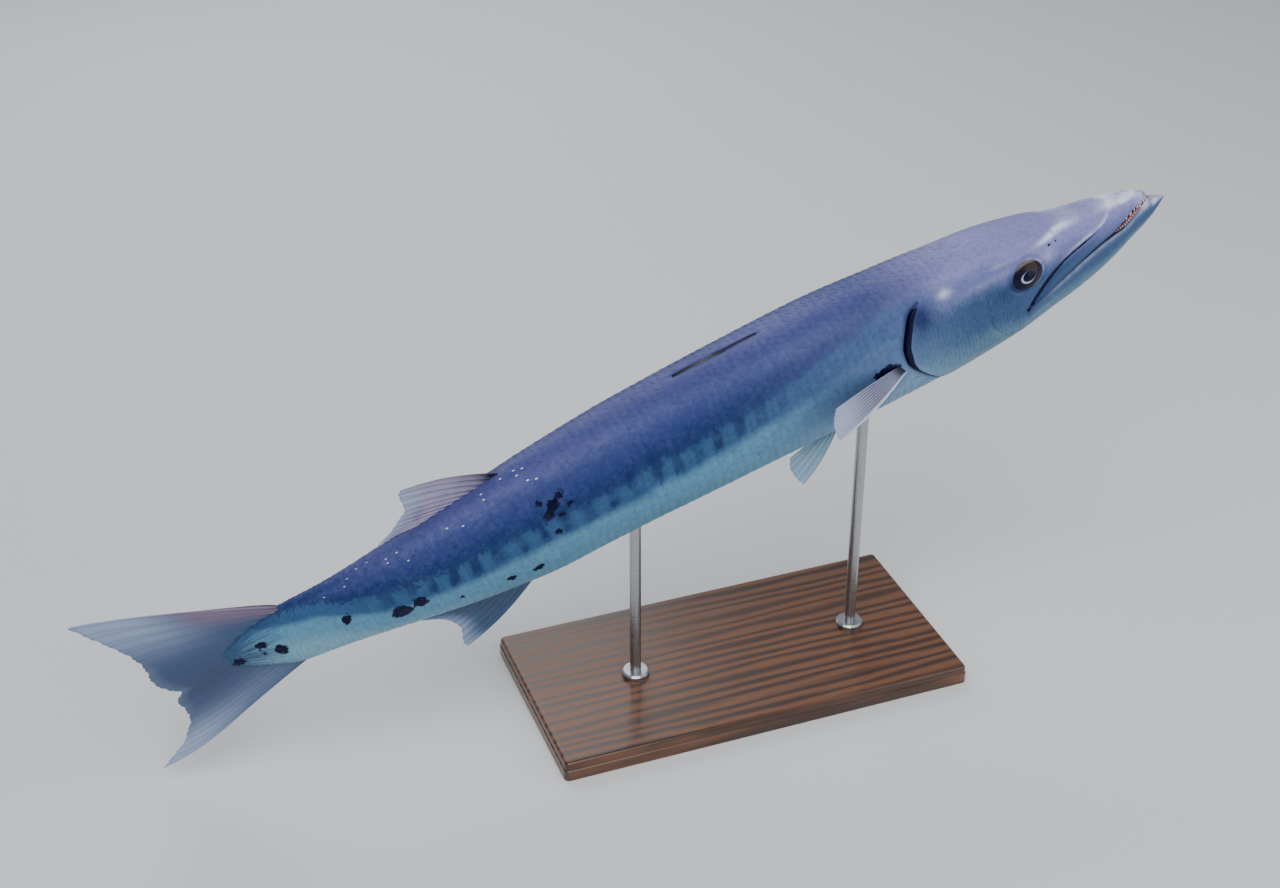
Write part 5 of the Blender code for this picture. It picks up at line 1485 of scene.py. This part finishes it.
def teeth_piece(name, side, material):
    """Every tooth as a cone of rings that narrow to a point and curve back, flattened sideways."""
    levels = 8
    sides = 10
    up = np.linspace(0, 1, levels)
    turn = np.arange(sides) * 2 * math.pi / sides
    longest = bpy.context.scene.barracuda_sizes.fang
    points = []
    quads = []
    triangles = []
    ups = []
    total = 0
    for s, jaw, tall, radius in tooth_list():
        high = float(smooth_curve(s, GAPE, 2))
        low = float(smooth_curve(s, GAPE, 1))
        edge = high if jaw > 0 else low
        reach = tall if tall >= 0.9 * longest else min(tall, (high - low) * 0.92 + 0.0022)
        y = float(side_width(s, edge)) - 0.0013
        wide = radius * (1 - up) ** 0.75 + 0.00006
        centre_s = s - 0.0003 + 0.0012 * up ** 2
        centre_z = edge + jaw * (0.0016 - up * (reach + 0.0016))
        ring = np.stack([centre_s[:, None] + wide[:, None] * np.cos(turn),
                         y + 0.65 * wide[:, None] * np.sin(turn) + 0 * centre_s[:, None],
                         centre_z[:, None] + 0 * turn], -1)
        ring[..., 1] = side * ring[..., 1] + smooth_curve(s, SWEEP)
        ends = np.array([(centre_s[0], side * y, centre_z[0]),
                         (centre_s[-1], side * y, centre_z[-1] - jaw * 0.0001)])
        shape = np.concatenate([ring.reshape(-1, 3), ends])
        faces, caps = capped_faces(shape, levels, sides)
        points.append(shape)
        quads.append(faces + total)
        triangles.append(caps + total)
        ups.append(np.append(np.repeat(up, sides), [0, 1]))
        total += len(shape)
    return make_mesh(name, np.concatenate(points), np.concatenate(quads), {"up": np.concatenate(ups)}, None,
                     material, np.concatenate(triangles))


RAY_JOINTS = 34
FIN_EDGE = 0.00018


def fin_finish(name, base, ray, tip, warm):
    """Thin fin: skin between darker rays, pale towards the tip, with crossing ray joints."""
    c = colours()
    material, tree, shader = new_finish(name, 0.40, 0.05, 0.25, 0.2)
    cloud = grain(tree, 60.0, 4.0)
    skin = blend(tree, stretch(tree, cloud, 0.35, 0.75, 0.0, 0.35), base, c.upper)
    paled = blend(tree, field(tree, "pale"), skin, tip)
    warmed = blend(tree, field(tree, "warm"), paled, warm)
    rays = times(tree, stretch(tree, field(tree, "ray"), 0.25, 0.85), field(tree, "ray_tint"))
    rayed = blend(tree, rays, warmed, ray)
    dark = blend(tree, field(tree, "dark"), rayed, c.black)
    paint_with(tree, shader, dark)
    let_light_in(shader, 0.15, (0.004, 0.003, 0.003))
    joint = calc(tree, "SINE", times(tree, field(tree, "out"), 2 * math.pi * RAY_JOINTS))
    jointed = times(tree, calc(tree, "GREATER_THAN", joint, 0.75), field(tree, "ray"))
    bump(tree, shader, plus(tree, grain(tree, 500.0), times(tree, jointed, -0.5)), 0.00015, 0.6)
    return material


def fin_piece(name, grid, u, v, rays, normal, paint, material, flesh=0.0, branch=0.42):
    """A closed fin from its middle surface, columns across the rays and rows out to the edge.

    Half thickness is the fin skin plus a ridge on every ray, a bell across it that narrows
    outwards; past the branch point each ridge parts in two. The edge is drawn in a little
    between the rays. The paint gives the shares of pale, warm, dark and ray colour.
    """
    sizes = bpy.context.scene.barracuda_sizes
    columns, rows = grid.shape[:2]
    near = u[:, None] * (rays - 1)
    near = near - np.round(near)
    part = 0.17 * ease(v[None, :], branch, 1.0)
    ridge = np.maximum(bell(near - part, 0.13), bell(near + part, 0.13))
    out = np.clip(v, 0, 1)[None, :]
    tall = sizes.ray_root + (sizes.ray_tip - sizes.ray_root) * out ** 0.7
    thick = sizes.web + (tall - sizes.web) * ridge
    thick = FIN_EDGE + (thick - FIN_EDGE) * np.clip((1 - out) * 12, 0, 1)
    thick = thick + flesh * (1 - ease(out, 0.0, 0.45))
    gather = 0.012 * (1 - ridge[:, -1:]) * ease(v[None, :], 0.7, 1.0)
    grid = grid + (grid[:, :1] - grid) * gather[..., None]
    wave = 0.0007 * np.sin(u[:, None] * 9 + 2.0 * out) * out
    grid = grid + normal * wave[..., None]
    upper = grid + normal * thick[..., None]
    lower = grid - normal * thick[..., None]
    points = np.concatenate([upper.reshape(-1, 3), lower.reshape(-1, 3)])
    faces = faces_outward(points, sheet_faces(columns, rows))
    fields = {"pale": 0.0, "warm": 0.0, "dark": 0.0, **paint(u[:, None], out), "ray": ridge, "out": out}
    fields = {key: np.tile(np.broadcast_to(item, (columns, rows)).ravel(), 2) for key, item in fields.items()}
    place_a = np.repeat(u[:, None], rows, axis=1).ravel() * 0.46 + 0.02
    place_b = np.repeat(np.linspace(0, 1, rows)[None], columns, axis=0).ravel() * 0.92 + 0.04
    bake = np.concatenate([np.stack([place_a, place_b], -1), np.stack([place_a + 0.5, place_b], -1)])
    walls = 2 * (columns + rows) - 4
    strip = np.stack([np.full(walls, 0.489), np.linspace(0.02, 0.98, walls)], -1)
    after = np.roll(strip, -1, 0)
    strip = np.stack([strip, after, after + [0.008, 0], strip + [0.008, 0]], 1)
    strip[-1, 1:3, 1] = 0.99
    corners = bake[faces]
    corners[-walls:] = strip if faces[0, 0] == 0 else strip[:, ::-1]
    return make_mesh(name, points, faces, fields, corners.reshape(-1, 2), material)


def curve_points(knots):
    """A curve of points through knots (share, s, z) in the middle plane of the body."""
    knots = np.array(knots, float)

    def at(u):
        s = smooth_curve(u, knots, 1)
        return np.stack([s, smooth_curve(s, SWEEP), smooth_curve(u, knots, 2)], -1)
    return at


def fan(root, margin, bow_first, bow_last, columns, rows, sink):
    """Middle surface of a fin: straight spokes from root to margin.

    The first and last spokes bow out and those between by less; the spokes are run back
    into the body by the sink.
    """
    u = np.linspace(0, 1, columns)
    a = root(u)
    b = margin(u)
    start = -sink / np.linalg.norm(b - a, axis=1)
    v = np.linspace(0, 1, rows)
    spread = start[:, None] + (1 - start[:, None]) * v[None, :]
    bow = np.clip(spread, 0, 1)
    grid = a[:, None] * (1 - spread[..., None]) + b[:, None] * spread[..., None]
    grid = grid + ((1 - u)[:, None] ** 3 * np.sin(math.pi * bow) ** 0.9)[..., None] * np.array(bow_first)
    grid = grid + (u[:, None] ** 3 * np.sin(math.pi * bow))[..., None] * np.array(bow_last)
    return grid, u, v


SIDEWAYS = np.array([0.0, 1.0, 0.0])


def second_dorsal(material):
    """Short soft fin on the back, its last ray drawn out behind."""
    def root(u):
        s = 0.7516 + 0.0924 * u
        return np.stack([s, smooth_curve(s, SWEEP), smooth_curve(s, BODY, 1)], -1)
    margin = curve_points([(0.0, 0.8425, 0.0980), (0.14, 0.8462, 0.0930), (0.34, 0.8462, 0.0775),
                           (0.55, 0.8554, 0.0680), (0.78, 0.8698, 0.0580), (1.0, 0.8861, 0.0516)])
    grid, u, v = fan(root, margin, (0.0, 0.0, 0.0052), (0.0, 0.0, 0.0012), 97, 44, 0.004)

    def paint(u, out):
        return {"pale": 0.8 * ease(out, 0.55, 1.0), "warm": 0.35 * bell(u, 0.12) * ease(out, 0.1, 0.3),
                "dark": 0.9 * bell(u, 0.16) * (1 - ease(out, 0.05, 0.42)) + 0.35 * (1 - ease(out, 0.0, 0.16)),
                "ray_tint": 0.75 - 0.35 * out}
    return fin_piece("second_back_fin", grid, u, v, 11, SIDEWAYS, paint, material)


def anal_fin(material):
    """Fin under the tail, like the second back fin turned over."""
    def root(u):
        s = 0.7540 + 0.0900 * u
        return np.stack([s, smooth_curve(s, SWEEP), -smooth_curve(s, BODY, 2)], -1)
    margin = curve_points([(0.0, 0.8500, -0.1120), (0.14, 0.8520, -0.1045), (0.34, 0.8480, -0.0865),
                           (0.55, 0.8540, -0.0730), (0.78, 0.8660, -0.0625), (1.0, 0.8800, -0.0548)])
    grid, u, v = fan(root, margin, (0.0, 0.0, -0.0060), (0.0, 0.0, -0.0012), 97, 44, 0.004)

    def paint(u, out):
        return {"pale": 0.85 * ease(out, 0.70, 1.0) * (1 - ease(u, 0.3, 0.9) * 0.4),
                "dark": 0.30 * bell(out - 0.45, 0.4), "ray_tint": 0.5}
    return fin_piece("anal_fin_rayed", grid, u, v, 11, SIDEWAYS, paint, material)


TAIL_RAYS = 19
# Edge of the tail fin, from its lower to its upper tip: share, station, height
TAIL_EDGE = [(0.0, 1.1791, -0.1115), (0.09, 1.1600, -0.0975), (0.17, 1.1440, -0.0850),
             (0.25, 1.1370, -0.0745), (0.33, 1.1280, -0.0610), (0.40, 1.1270, -0.0480),
             (0.47, 1.1300, -0.0350), (0.52, 1.1215, -0.0262), (0.58, 1.1330, -0.0165),
             (0.65, 1.1409, -0.0010), (0.72, 1.1400, 0.0165), (0.79, 1.1445, 0.0345),
             (0.86, 1.1540, 0.0520), (0.93, 1.1670, 0.0720), (1.0, 1.1823, 0.0955)]


def tail_fin(material):
    """Forked tail fin in one fan of rays, its root sunk in the flesh of the tail."""
    centre, half_height, _, _ = section(PEDUNCLE_END)
    margin = curve_points(TAIL_EDGE)
    u = np.linspace(0, 1, TAIL_RAYS * 8 + 1)
    v = np.linspace(0, 1, 56)
    level = -np.cos(math.pi * (0.06 + 0.88 * u)) / math.cos(math.pi * 0.06)
    s = np.full_like(u, PEDUNCLE_END - 0.004)
    root = np.stack([s, smooth_curve(s, SWEEP), centre + half_height * level * 0.96], -1)
    grid = root[:, None] * (1 - v[None, :, None]) + margin(u)[:, None] * v[None, :, None]
    lower = (1 - u)[:, None] ** 4 * np.sin(math.pi * v[None, :] ** 2)
    upper = u[:, None] ** 4 * np.sin(math.pi * v[None, :]) ** 0.6
    grid[..., 2] += 0.0078 * upper - 0.0070 * lower
    grid[..., 1] = smooth_curve(grid[..., 0], SWEEP)

    def paint(u, out):
        upper = ease(u, 0.66, 0.98) * ease(out, 0.30, 0.80)
        lower = 0.9 * ease(0.5 - u, 0.10, 0.42) * ease(out, 0.35, 0.95) + 0.25 * ease(0.5 - u, 0.0, 0.3)
        middle = 0.25 * ease(out, 0.88, 1.0)
        pale = np.maximum(np.maximum(upper, lower), middle)
        return {"pale": pale * 0.85, "warm": 0.9 * ease(u, 0.78, 0.97) * (1 - ease(out, 0.35, 0.65)),
                "dark": 0.30 * bell(u - 0.5, 0.20) * bell(out - 0.7, 0.35), "ray_tint": 0.30 - 0.12 * out}
    return fin_piece("tail_fin", grid, u, v, TAIL_RAYS, SIDEWAYS, paint, material, flesh=0.0030, branch=0.30)


def surface_normal(grid):
    """Unit normals of a grid of points."""
    normal = np.cross(np.gradient(grid, axis=0), np.gradient(grid, axis=1))
    return normal / np.linalg.norm(normal, axis=-1, keepdims=True)


def pectoral_fin(name, side, material):
    """Fin behind the gill cover, spread back, down and away from the body."""
    root_knots = np.array([(0.0, 0.3428, -0.0175), (1.0, 0.3495, -0.0050)])
    edge_knots = np.array([(0.0, 0.4300, -0.0362), (0.2, 0.4340, -0.0290), (0.45, 0.4345, -0.0190),
                           (0.75, 0.4318, -0.0080), (1.0, 0.4268, 0.0022)])

    def root(u):
        s = smooth_curve(u, root_knots, 1)
        z = smooth_curve(u, root_knots, 2)
        return np.stack([s, -(side_width(s, z) + 0.0008), z], -1)

    def margin(u):
        s = smooth_curve(u, edge_knots, 1)
        z = smooth_curve(u, edge_knots, 2)
        return np.stack([s, -(0.0800 + 0.0030 * np.sin(math.pi * u) - 0.04 * (z + 0.036)), z], -1)
    grid, u, v = fan(root, margin, (0.0, -0.0010, -0.0042), (0.0, -0.0010, 0.0016), 113, 48, 0.006)
    grid = grid * (1.0, -side, 1.0)

    def paint(u, out):
        return {"pale": np.maximum(0.9 * (1 - ease(u, 0.02, 0.10)), 0.45 * ease(out, 0.4, 1.0)),
                "dark": 0.95 * (1 - ease(out, 0.03, 0.16)) * ease(u, 0.05, 0.3), "ray_tint": 0.95}
    return fin_piece(name, grid, u, v, 10, surface_normal(grid), paint, material, branch=0.60)


def pelvic_fin(name, side, material):
    """Small fin under the belly, slanting down and outwards."""
    root_knots = np.array([(0.0, 0.4090, -0.0145), (1.0, 0.4235, -0.0120)])
    edge_knots = np.array([(0.0, 0.4690, -0.0325, -0.1052), (0.3, 0.4735, -0.0285, -0.0965),
                           (0.65, 0.4752, -0.0235, -0.0860), (1.0, 0.4715, -0.0190, -0.0765)])

    def root(u):
        s = smooth_curve(u, root_knots, 1)
        y = smooth_curve(u, root_knots, 2)
        centre, half_height, width, power = section(s)
        z = centre - half_height * (1 - np.abs(y / width) ** power) ** (1 / power)
        return np.stack([s, y, z - 0.0006], -1)

    def margin(u):
        return np.stack([smooth_curve(u, edge_knots, k) for k in (1, 2, 3)], -1)
    grid, u, v = fan(root, margin, (0.0, -0.0012, -0.0045), (0.0, 0.0, 0.0), 61, 40, 0.005)
    grid = grid * (1.0, -side, 1.0)

    def paint(u, out):
        return {"pale": 0.5 * ease(out, 0.4, 1.0) + 0.3 * (1 - ease(u, 0.02, 0.12)), "ray_tint": 0.35}
    return fin_piece(name, grid, u, v, 6, surface_normal(grid), paint, material)


def first_dorsal(material):
    """Folded first back fin: five spines lying back in the groove, each under the next.

    Its height is the largest of five bells that run back, swing to one side each and fade,
    over a low crown that falls off at both edges and ends.
    """
    rows = 90
    columns = 31
    along = np.linspace(0, 1, rows)
    across = np.linspace(-1, 1, columns)
    s = GROOVE[0] + (GROOVE[1] - GROOVE[0]) * along
    inner = 0.92 * groove_half_width(s)
    inner = inner * (0.25 + 0.75 * np.sin(math.pi * np.clip(along, 0.04, 0.96)) ** 0.5)
    height = np.zeros((rows, columns))
    for k in range(5):
        start = 0.02 + 0.17 * k
        offset = 0.34 * (-1) ** k * ease(along, start, start + 0.3)
        spine = bell(across[None, :] - offset[:, None], 0.17) * ease(along, start, start + 0.04)[:, None]
        fade = (1 - 0.75 * ease(along, start + 0.1, start + 0.62))[:, None]
        height = np.maximum(height, 0.0019 * spine * fade)
    height = height + 0.0005 * (1 - across[None, :] ** 2) * np.sin(math.pi * along)[:, None]
    height = height - 0.0012 * across[None, :] ** 4
    height = height - 0.0012 * (1 - np.sin(math.pi * along) ** 0.3)[:, None]
    top = smooth_curve(s, BODY, 1)[:, None] - 0.0012
    y = across[None, :] * inner[:, None] + smooth_curve(s, SWEEP)[:, None]
    upper = np.stack(np.broadcast_arrays(s[:, None], y, top + height), -1)
    lower = np.stack(np.broadcast_arrays(s[:, None], y, top - 0.0030 + 0 * height), -1)
    points = np.concatenate([upper.reshape(-1, 3), lower.reshape(-1, 3)])
    faces = faces_outward(points, sheet_faces(rows, columns))
    shine = np.tile((height / 0.002).ravel(), 2)
    return make_mesh("first_back_fin", points, faces, {"shine": shine}, None, material)


def folded_finish():
    """Dark, damp fin skin, partly painted shade of its groove; painted highlight on the spines' crests."""
    c = colours()
    material, tree, shader = new_finish("folded_fin", 0.42, 0.0, 0.2, 0.2)
    # painted highlight on the crests of the spines, by their height
    crest = blend(tree, stretch(tree, field(tree, "shine"), 0.2, 1.0, 0.0, 0.45), c.folded, c.back)
    # darker in noisy patches
    noise_darkened = blend(tree, stretch(tree, grain(tree, 300.0), 0.4, 0.8, 0.0, 0.4), crest, c.black)
    paint_with(tree, shader, noise_darkened)
    bump(tree, shader, grain(tree, 600.0), 0.0001)
    return material


def wood_finish():
    """Oiled walnut: rings stretched along the board, fine pores and a satin coat."""
    c = colours()
    material, tree, shader = new_finish("walnut", 0.38, 0.0, 0.35, 0.18)
    board = own_place(tree, (0.9, 9.0, 9.0), (0.0, 0.4, 0.3))
    flow = grain(tree, 1.6, 3.0, 0.5, board)
    waves = {"Vector": board, "Scale": 2.6, "Distortion": 7.0, "Detail": 4.0, "Detail Scale": 1.4}
    bands = node(tree, "TexWave", waves, bands_direction="Y").outputs["Fac"]
    fleck = grain(tree, 1.0, 2.0, 0.6, own_place(tree, (40.0, 900.0, 900.0)))
    shade = plus(tree, times(tree, bands, 0.6), times(tree, flow, 0.5))
    grained = ramp(tree, shade, [(0.15, c.wood_dark), (0.85, c.wood_light)])
    flecked = blend(tree, stretch(tree, fleck, 0.56, 0.70, 0.0, 0.45), grained, c.wood_dark)
    paint_with(tree, shader, flecked, stretch(tree, bands, 0.0, 1.0, 0.32, 0.46))
    bump(tree, shader, fleck, 0.00008, 0.5)
    return material


STEEL_SHADE = (0.30, 0.30, 0.31)


def steel_finish():
    """Brushed steel: fine rings round the rods and a faint change of shine."""
    c = colours()
    material, tree, shader = new_finish("brushed_steel", 0.30, 1.0)
    lines = grain(tree, 1.0, 3.0, 0.6, own_place(tree, (60.0, 60.0, 2600.0)))
    tint = blend(tree, stretch(tree, lines, 0.3, 0.7, 0.0, 0.25), c.steel, STEEL_SHADE)
    paint_with(tree, shader, tint, stretch(tree, lines, 0.2, 0.8, 0.22, 0.40))
    bump(tree, shader, lines, 0.00003, 0.4)
    return material


BASE_CORNER = 0.006


def base_piece(material):
    """Board with rounded corners and a moulded upper edge.

    The outline is a rectangle with quarter-round corners; the profile is carried round it:
    a small foot bevel, the side, a cove and a rounded lip, each an inset at a height.
    """
    low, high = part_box("stand_base")
    half_x = (high.x - low.x) / 2
    half_y = (high.y - low.y) / 2
    tall = high.z - low.z
    edge = bpy.context.scene.barracuda_sizes.base_edge
    quarter = np.linspace(0, math.pi / 2, 7)
    outline = []
    for sx, sy, start in ((1, 1, 0), (-1, 1, 1), (-1, -1, 2), (1, -1, 3)):
        turn = quarter + start * math.pi / 2
        outline.append(np.stack([sx + 0 * turn, sy + 0 * turn, np.cos(turn), np.sin(turn)], -1))
    outline = np.concatenate(outline)
    bend = np.linspace(0, math.pi / 2, 6)
    profile = [(0.0, 0.0008), (0.0008, 0.0), (tall * 0.55, 0.0), (tall * 0.58, 0.0010)]
    profile += [(tall - edge + edge * math.sin(a), 0.0010 + edge * (1 - math.cos(a))) for a in bend]
    profile.append((tall, edge + 0.0050))
    rows = len(profile)
    columns = len(outline)
    points = np.zeros((rows, columns, 3))
    for k, (z, inset) in enumerate(profile):
        bent = max(BASE_CORNER - inset, 0.0004)
        points[k, :, 0] = outline[:, 0] * (half_x - inset - bent) + bent * outline[:, 2]
        points[k, :, 1] = outline[:, 1] * (half_y - inset - bent) + bent * outline[:, 3]
        points[k, :, 2] = z
    faces = grid_quads(rows, columns, round_columns=True).tolist()
    faces.append(list(range(columns - 1, -1, -1)))
    faces.append([(rows - 1) * columns + k for k in range(columns)])
    mesh = bpy.data.meshes.new("base_board")
    mesh.from_pydata(points.reshape(-1, 3).tolist(), [], faces)
    mesh.polygons.foreach_set("use_smooth", [True] * len(mesh.polygons))
    mesh.set_sharp_from_angle(angle=math.radians(35))
    mesh.materials.append(material)
    return add_object("base_board", mesh)


SIDES = (("right", -1), ("left", 1))


class BARRACUDA_OT_skin(bpy.types.Operator):
    """Build the skin that stands for every node of flesh"""
    bl_idname = "barracuda.skin"
    bl_label = "Skin"

    def execute(self, context):
        skin = skin_piece(skin_finish())
        ride(skin, "head", "lower_jaw", "gill_cover_right", "gill_cover_left", "trunk_front", "trunk_rear",
             "caudal_peduncle", slot="skin_trunk")
        return {"FINISHED"}


class BARRACUDA_OT_scales(bpy.types.Operator):
    """Lay the scales over the trunk and the small ones over the cheeks"""
    bl_idname = "barracuda.scales"
    bl_label = "Scales"

    def execute(self, context):
        sizes = context.scene.barracuda_sizes
        material = scale_finish()
        places = scale_places()
        cuts = (0.0, 0.54, 0.74, 0.90, FLESH_END)
        for name, low, high in zip(("shoulder", "middle", "rear", "tail"), cuts, cuts[1:]):
            here = places[(places[:, 0] >= low) & (places[:, 0] < high)]
            rise = sizes.scale_rise
            made = scale_piece("scales_" + name, here, rise, 0.36 * rise, material)
            ride(made, slot="skin_trunk")
        made = scale_piece("scales_cheek", cheek_places(), 0.00040, 0.00014, material)
        ride(made, slot="skin_gill")
        return {"FINISHED"}


class BARRACUDA_OT_eyes(bpy.types.Operator):
    """Set both eyes in their sockets"""
    bl_idname = "barracuda.eyes"
    bl_label = "Eyes"

    def execute(self, context):
        material = eye_finish()
        for word, side in SIDES:
            ride(eye_piece("eyeball_" + word, side, material), "eye_" + word, slot="eye")
        return {"FINISHED"}


class BARRACUDA_OT_teeth(bpy.types.Operator):
    """Set the teeth along both jaws"""
    bl_idname = "barracuda.teeth"
    bl_label = "Teeth"

    def execute(self, context):
        material = tooth_finish()
        for word, side in SIDES:
            ride(teeth_piece("teeth_" + word, side, material), slot="skin_jaw")
        return {"FINISHED"}


class BARRACUDA_OT_middle_fins(bpy.types.Operator):
    """Build the two back fins, the anal fin and the tail fin"""
    bl_idname = "barracuda.middle_fins"
    bl_label = "Back, anal and tail fins"

    def execute(self, context):
        c = colours()
        blush = fin_finish("pink_fin", c.fin_blush, c.fin_ray, c.fin_pale, c.fin_warm)
        slate = fin_finish("slate_fin", c.fin_slate, c.upper, c.fin_pale, c.fin_warm)
        ride(first_dorsal(folded_finish()), "dorsal_fin_1", slot="fin_dark")
        ride(second_dorsal(blush), "dorsal_fin_2", slot="fin_pale")
        sea = fin_finish("sea_fin", c.fin_sea, c.upper, c.fin_pale, c.fin_warm)
        ride(anal_fin(sea), "anal_fin", slot="fin_slate")
        ride(tail_fin(slate), "caudal_fin_lower", "caudal_fin_upper", slot="fin_tail")
        return {"FINISHED"}


class BARRACUDA_OT_side_fins(bpy.types.Operator):
    """Build the pectoral and pelvic fins"""
    bl_idname = "barracuda.side_fins"
    bl_label = "Side and belly fins"

    def execute(self, context):
        c = colours()
        side_web = fin_finish("side_fin", c.fin_web, c.fin_pale, c.bright, c.fin_warm)
        teal = fin_finish("belly_fin", c.fin_teal, c.middle, c.fin_pale, c.fin_warm)
        for word, side in SIDES:
            ride(pectoral_fin("side_fin_" + word, side, side_web), "pectoral_fin_" + word, slot="fin_pale")
            ride(pelvic_fin("belly_fin_" + word, side, teal), "pelvic_fin_" + word, slot="fin_teal")
        return {"FINISHED"}


class BARRACUDA_OT_stand(bpy.types.Operator):
    """Build the moulded base and finish the rods"""
    bl_idname = "barracuda.stand"
    bl_label = "Stand"

    def execute(self, context):
        ride(base_piece(wood_finish()), "stand_base", slot="stand_wood")
        steel = steel_finish()
        for name in ("stand_rod_front", "stand_rod_rear"):
            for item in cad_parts[name].material_slots:
                item.material = steel
        return {"FINISHED"}


# Camera: sight line in degrees, distance, target, lens and frame width; then floor and sky
SIGHT_AZIMUTH = -20.6
SIGHT_ELEVATION = 32.0
SIGHT_DISTANCE = 2.0
SIGHT_TARGET = (-0.1002, 0.0154, 0.3016)
LENS_MM = 55.77
SENSOR_MM = 36.0
FLOOR_REACH = 30.0
SKY_COLOUR = (0.80, 0.86, 0.94, 1.0)
SKY_STRENGTH = 0.42
# Lights: name, place, aimed at, size, power in watts, colour
LIGHTS = [
    ("key", (-0.6, -1.4, 2.6), (0.0, 0.0, 0.3), 2.2, 62.0, (1.0, 0.98, 0.96)),
    ("fill", (1.9, -1.6, 1.0), (0.1, 0.0, 0.3), 1.8, 20.0, (0.95, 0.97, 1.0)),
    ("back", (-0.2, 2.2, 1.8), (0.0, 0.0, 0.3), 2.0, 26.0, (0.96, 0.98, 1.0)),
]


class BARRACUDA_OT_stage(bpy.types.Operator):
    """Set the floor, the lights and the camera"""
    bl_idname = "barracuda.stage"
    bl_label = "Studio"

    def execute(self, context):
        scene = context.scene
        c = colours()
        floor = bpy.data.meshes.new("floor")
        corners = [(x * FLOOR_REACH, y * FLOOR_REACH, 0) for x, y in ((-1, -1), (1, -1), (1, 1), (-1, 1))]
        floor.from_pydata(corners, [], [(0, 1, 2, 3)])
        material, tree, shader = new_finish("floor", 0.75)
        tint = blend(tree, grain(tree, 1.5, 2.0), c.floor, [x * 0.97 for x in c.floor])
        paint_with(tree, shader, tint)
        floor.materials.append(material)
        made = add_object("floor", floor)
        world = bpy.data.worlds.new("studio")
        world.use_nodes = True
        sky = world.node_tree.nodes["Background"]
        sky.inputs["Color"].default_value = SKY_COLOUR
        sky.inputs["Strength"].default_value = SKY_STRENGTH
        scene.world = world
        for name, spot, aim, size, power, tone in LIGHTS:
            lamp = bpy.data.lights.new(name, "AREA")
            lamp.energy = power
            lamp.size = size
            lamp.color = tone
            placed = add_object(name, lamp)
            placed.location = spot
            placed.rotation_euler = (Vector(aim) - Vector(spot)).to_track_quat("-Z", "Y").to_euler()
        a = math.radians(SIGHT_AZIMUTH)
        e = math.radians(SIGHT_ELEVATION)
        back = Vector((math.sin(a) * math.cos(e), -math.cos(a) * math.cos(e), math.sin(e)))
        right = Vector((math.cos(a), math.sin(a), 0.0))
        up = back.cross(right)
        lens = bpy.data.cameras.new("camera")
        lens.lens = LENS_MM
        lens.sensor_width = SENSOR_MM
        lens.sensor_fit = "HORIZONTAL"
        scene.camera = add_object("camera", lens)
        turned = Matrix((right, up, back)).transposed().to_4x4()
        scene.camera.matrix_world = Matrix.Translation(Vector(SIGHT_TARGET) + back * SIGHT_DISTANCE) @ turned
        return {"FINISHED"}


STEPS = (BARRACUDA_OT_skin, BARRACUDA_OT_scales, BARRACUDA_OT_eyes, BARRACUDA_OT_teeth,
         BARRACUDA_OT_middle_fins, BARRACUDA_OT_side_fins, BARRACUDA_OT_stand, BARRACUDA_OT_stage)


class BARRACUDA_PT_parts(bpy.types.Panel):
    """Sizes, colours and a button for each piece"""
    bl_idname = "BARRACUDA_PT_parts"
    bl_label = "Barracuda"
    bl_space_type = "VIEW_3D"
    bl_region_type = "UI"
    bl_category = "Barracuda"

    def draw(self, context):
        for step in STEPS:
            self.layout.operator(step.bl_idname)
        for group in (context.scene.barracuda_sizes, context.scene.barracuda_colours):
            column = self.layout.column(align=True)
            for key in group.bl_rna.properties.keys():
                if key not in ("rna_type", "name"):
                    column.prop(group, key)


CLASSES = (BarracudaSizes, BarracudaColours, *STEPS, BARRACUDA_PT_parts)


def register():
    """Add the classes, and both groups of settings to the scene."""
    for item in CLASSES:
        bpy.utils.register_class(item)
    bpy.types.Scene.barracuda_sizes = bpy.props.PointerProperty(type=BarracudaSizes)
    bpy.types.Scene.barracuda_colours = bpy.props.PointerProperty(type=BarracudaColours)


def unregister():
    """Take the settings and classes out again."""
    del bpy.types.Scene.barracuda_colours
    del bpy.types.Scene.barracuda_sizes
    for item in reversed(CLASSES):
        bpy.utils.unregister_class(item)


def main():
    """Build every piece in order."""
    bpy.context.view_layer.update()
    register()
    for step in STEPS:
        name = step.bl_idname.split(".")[1]
        getattr(bpy.ops.barracuda, name)()


if __name__ == "__main__":
    main()
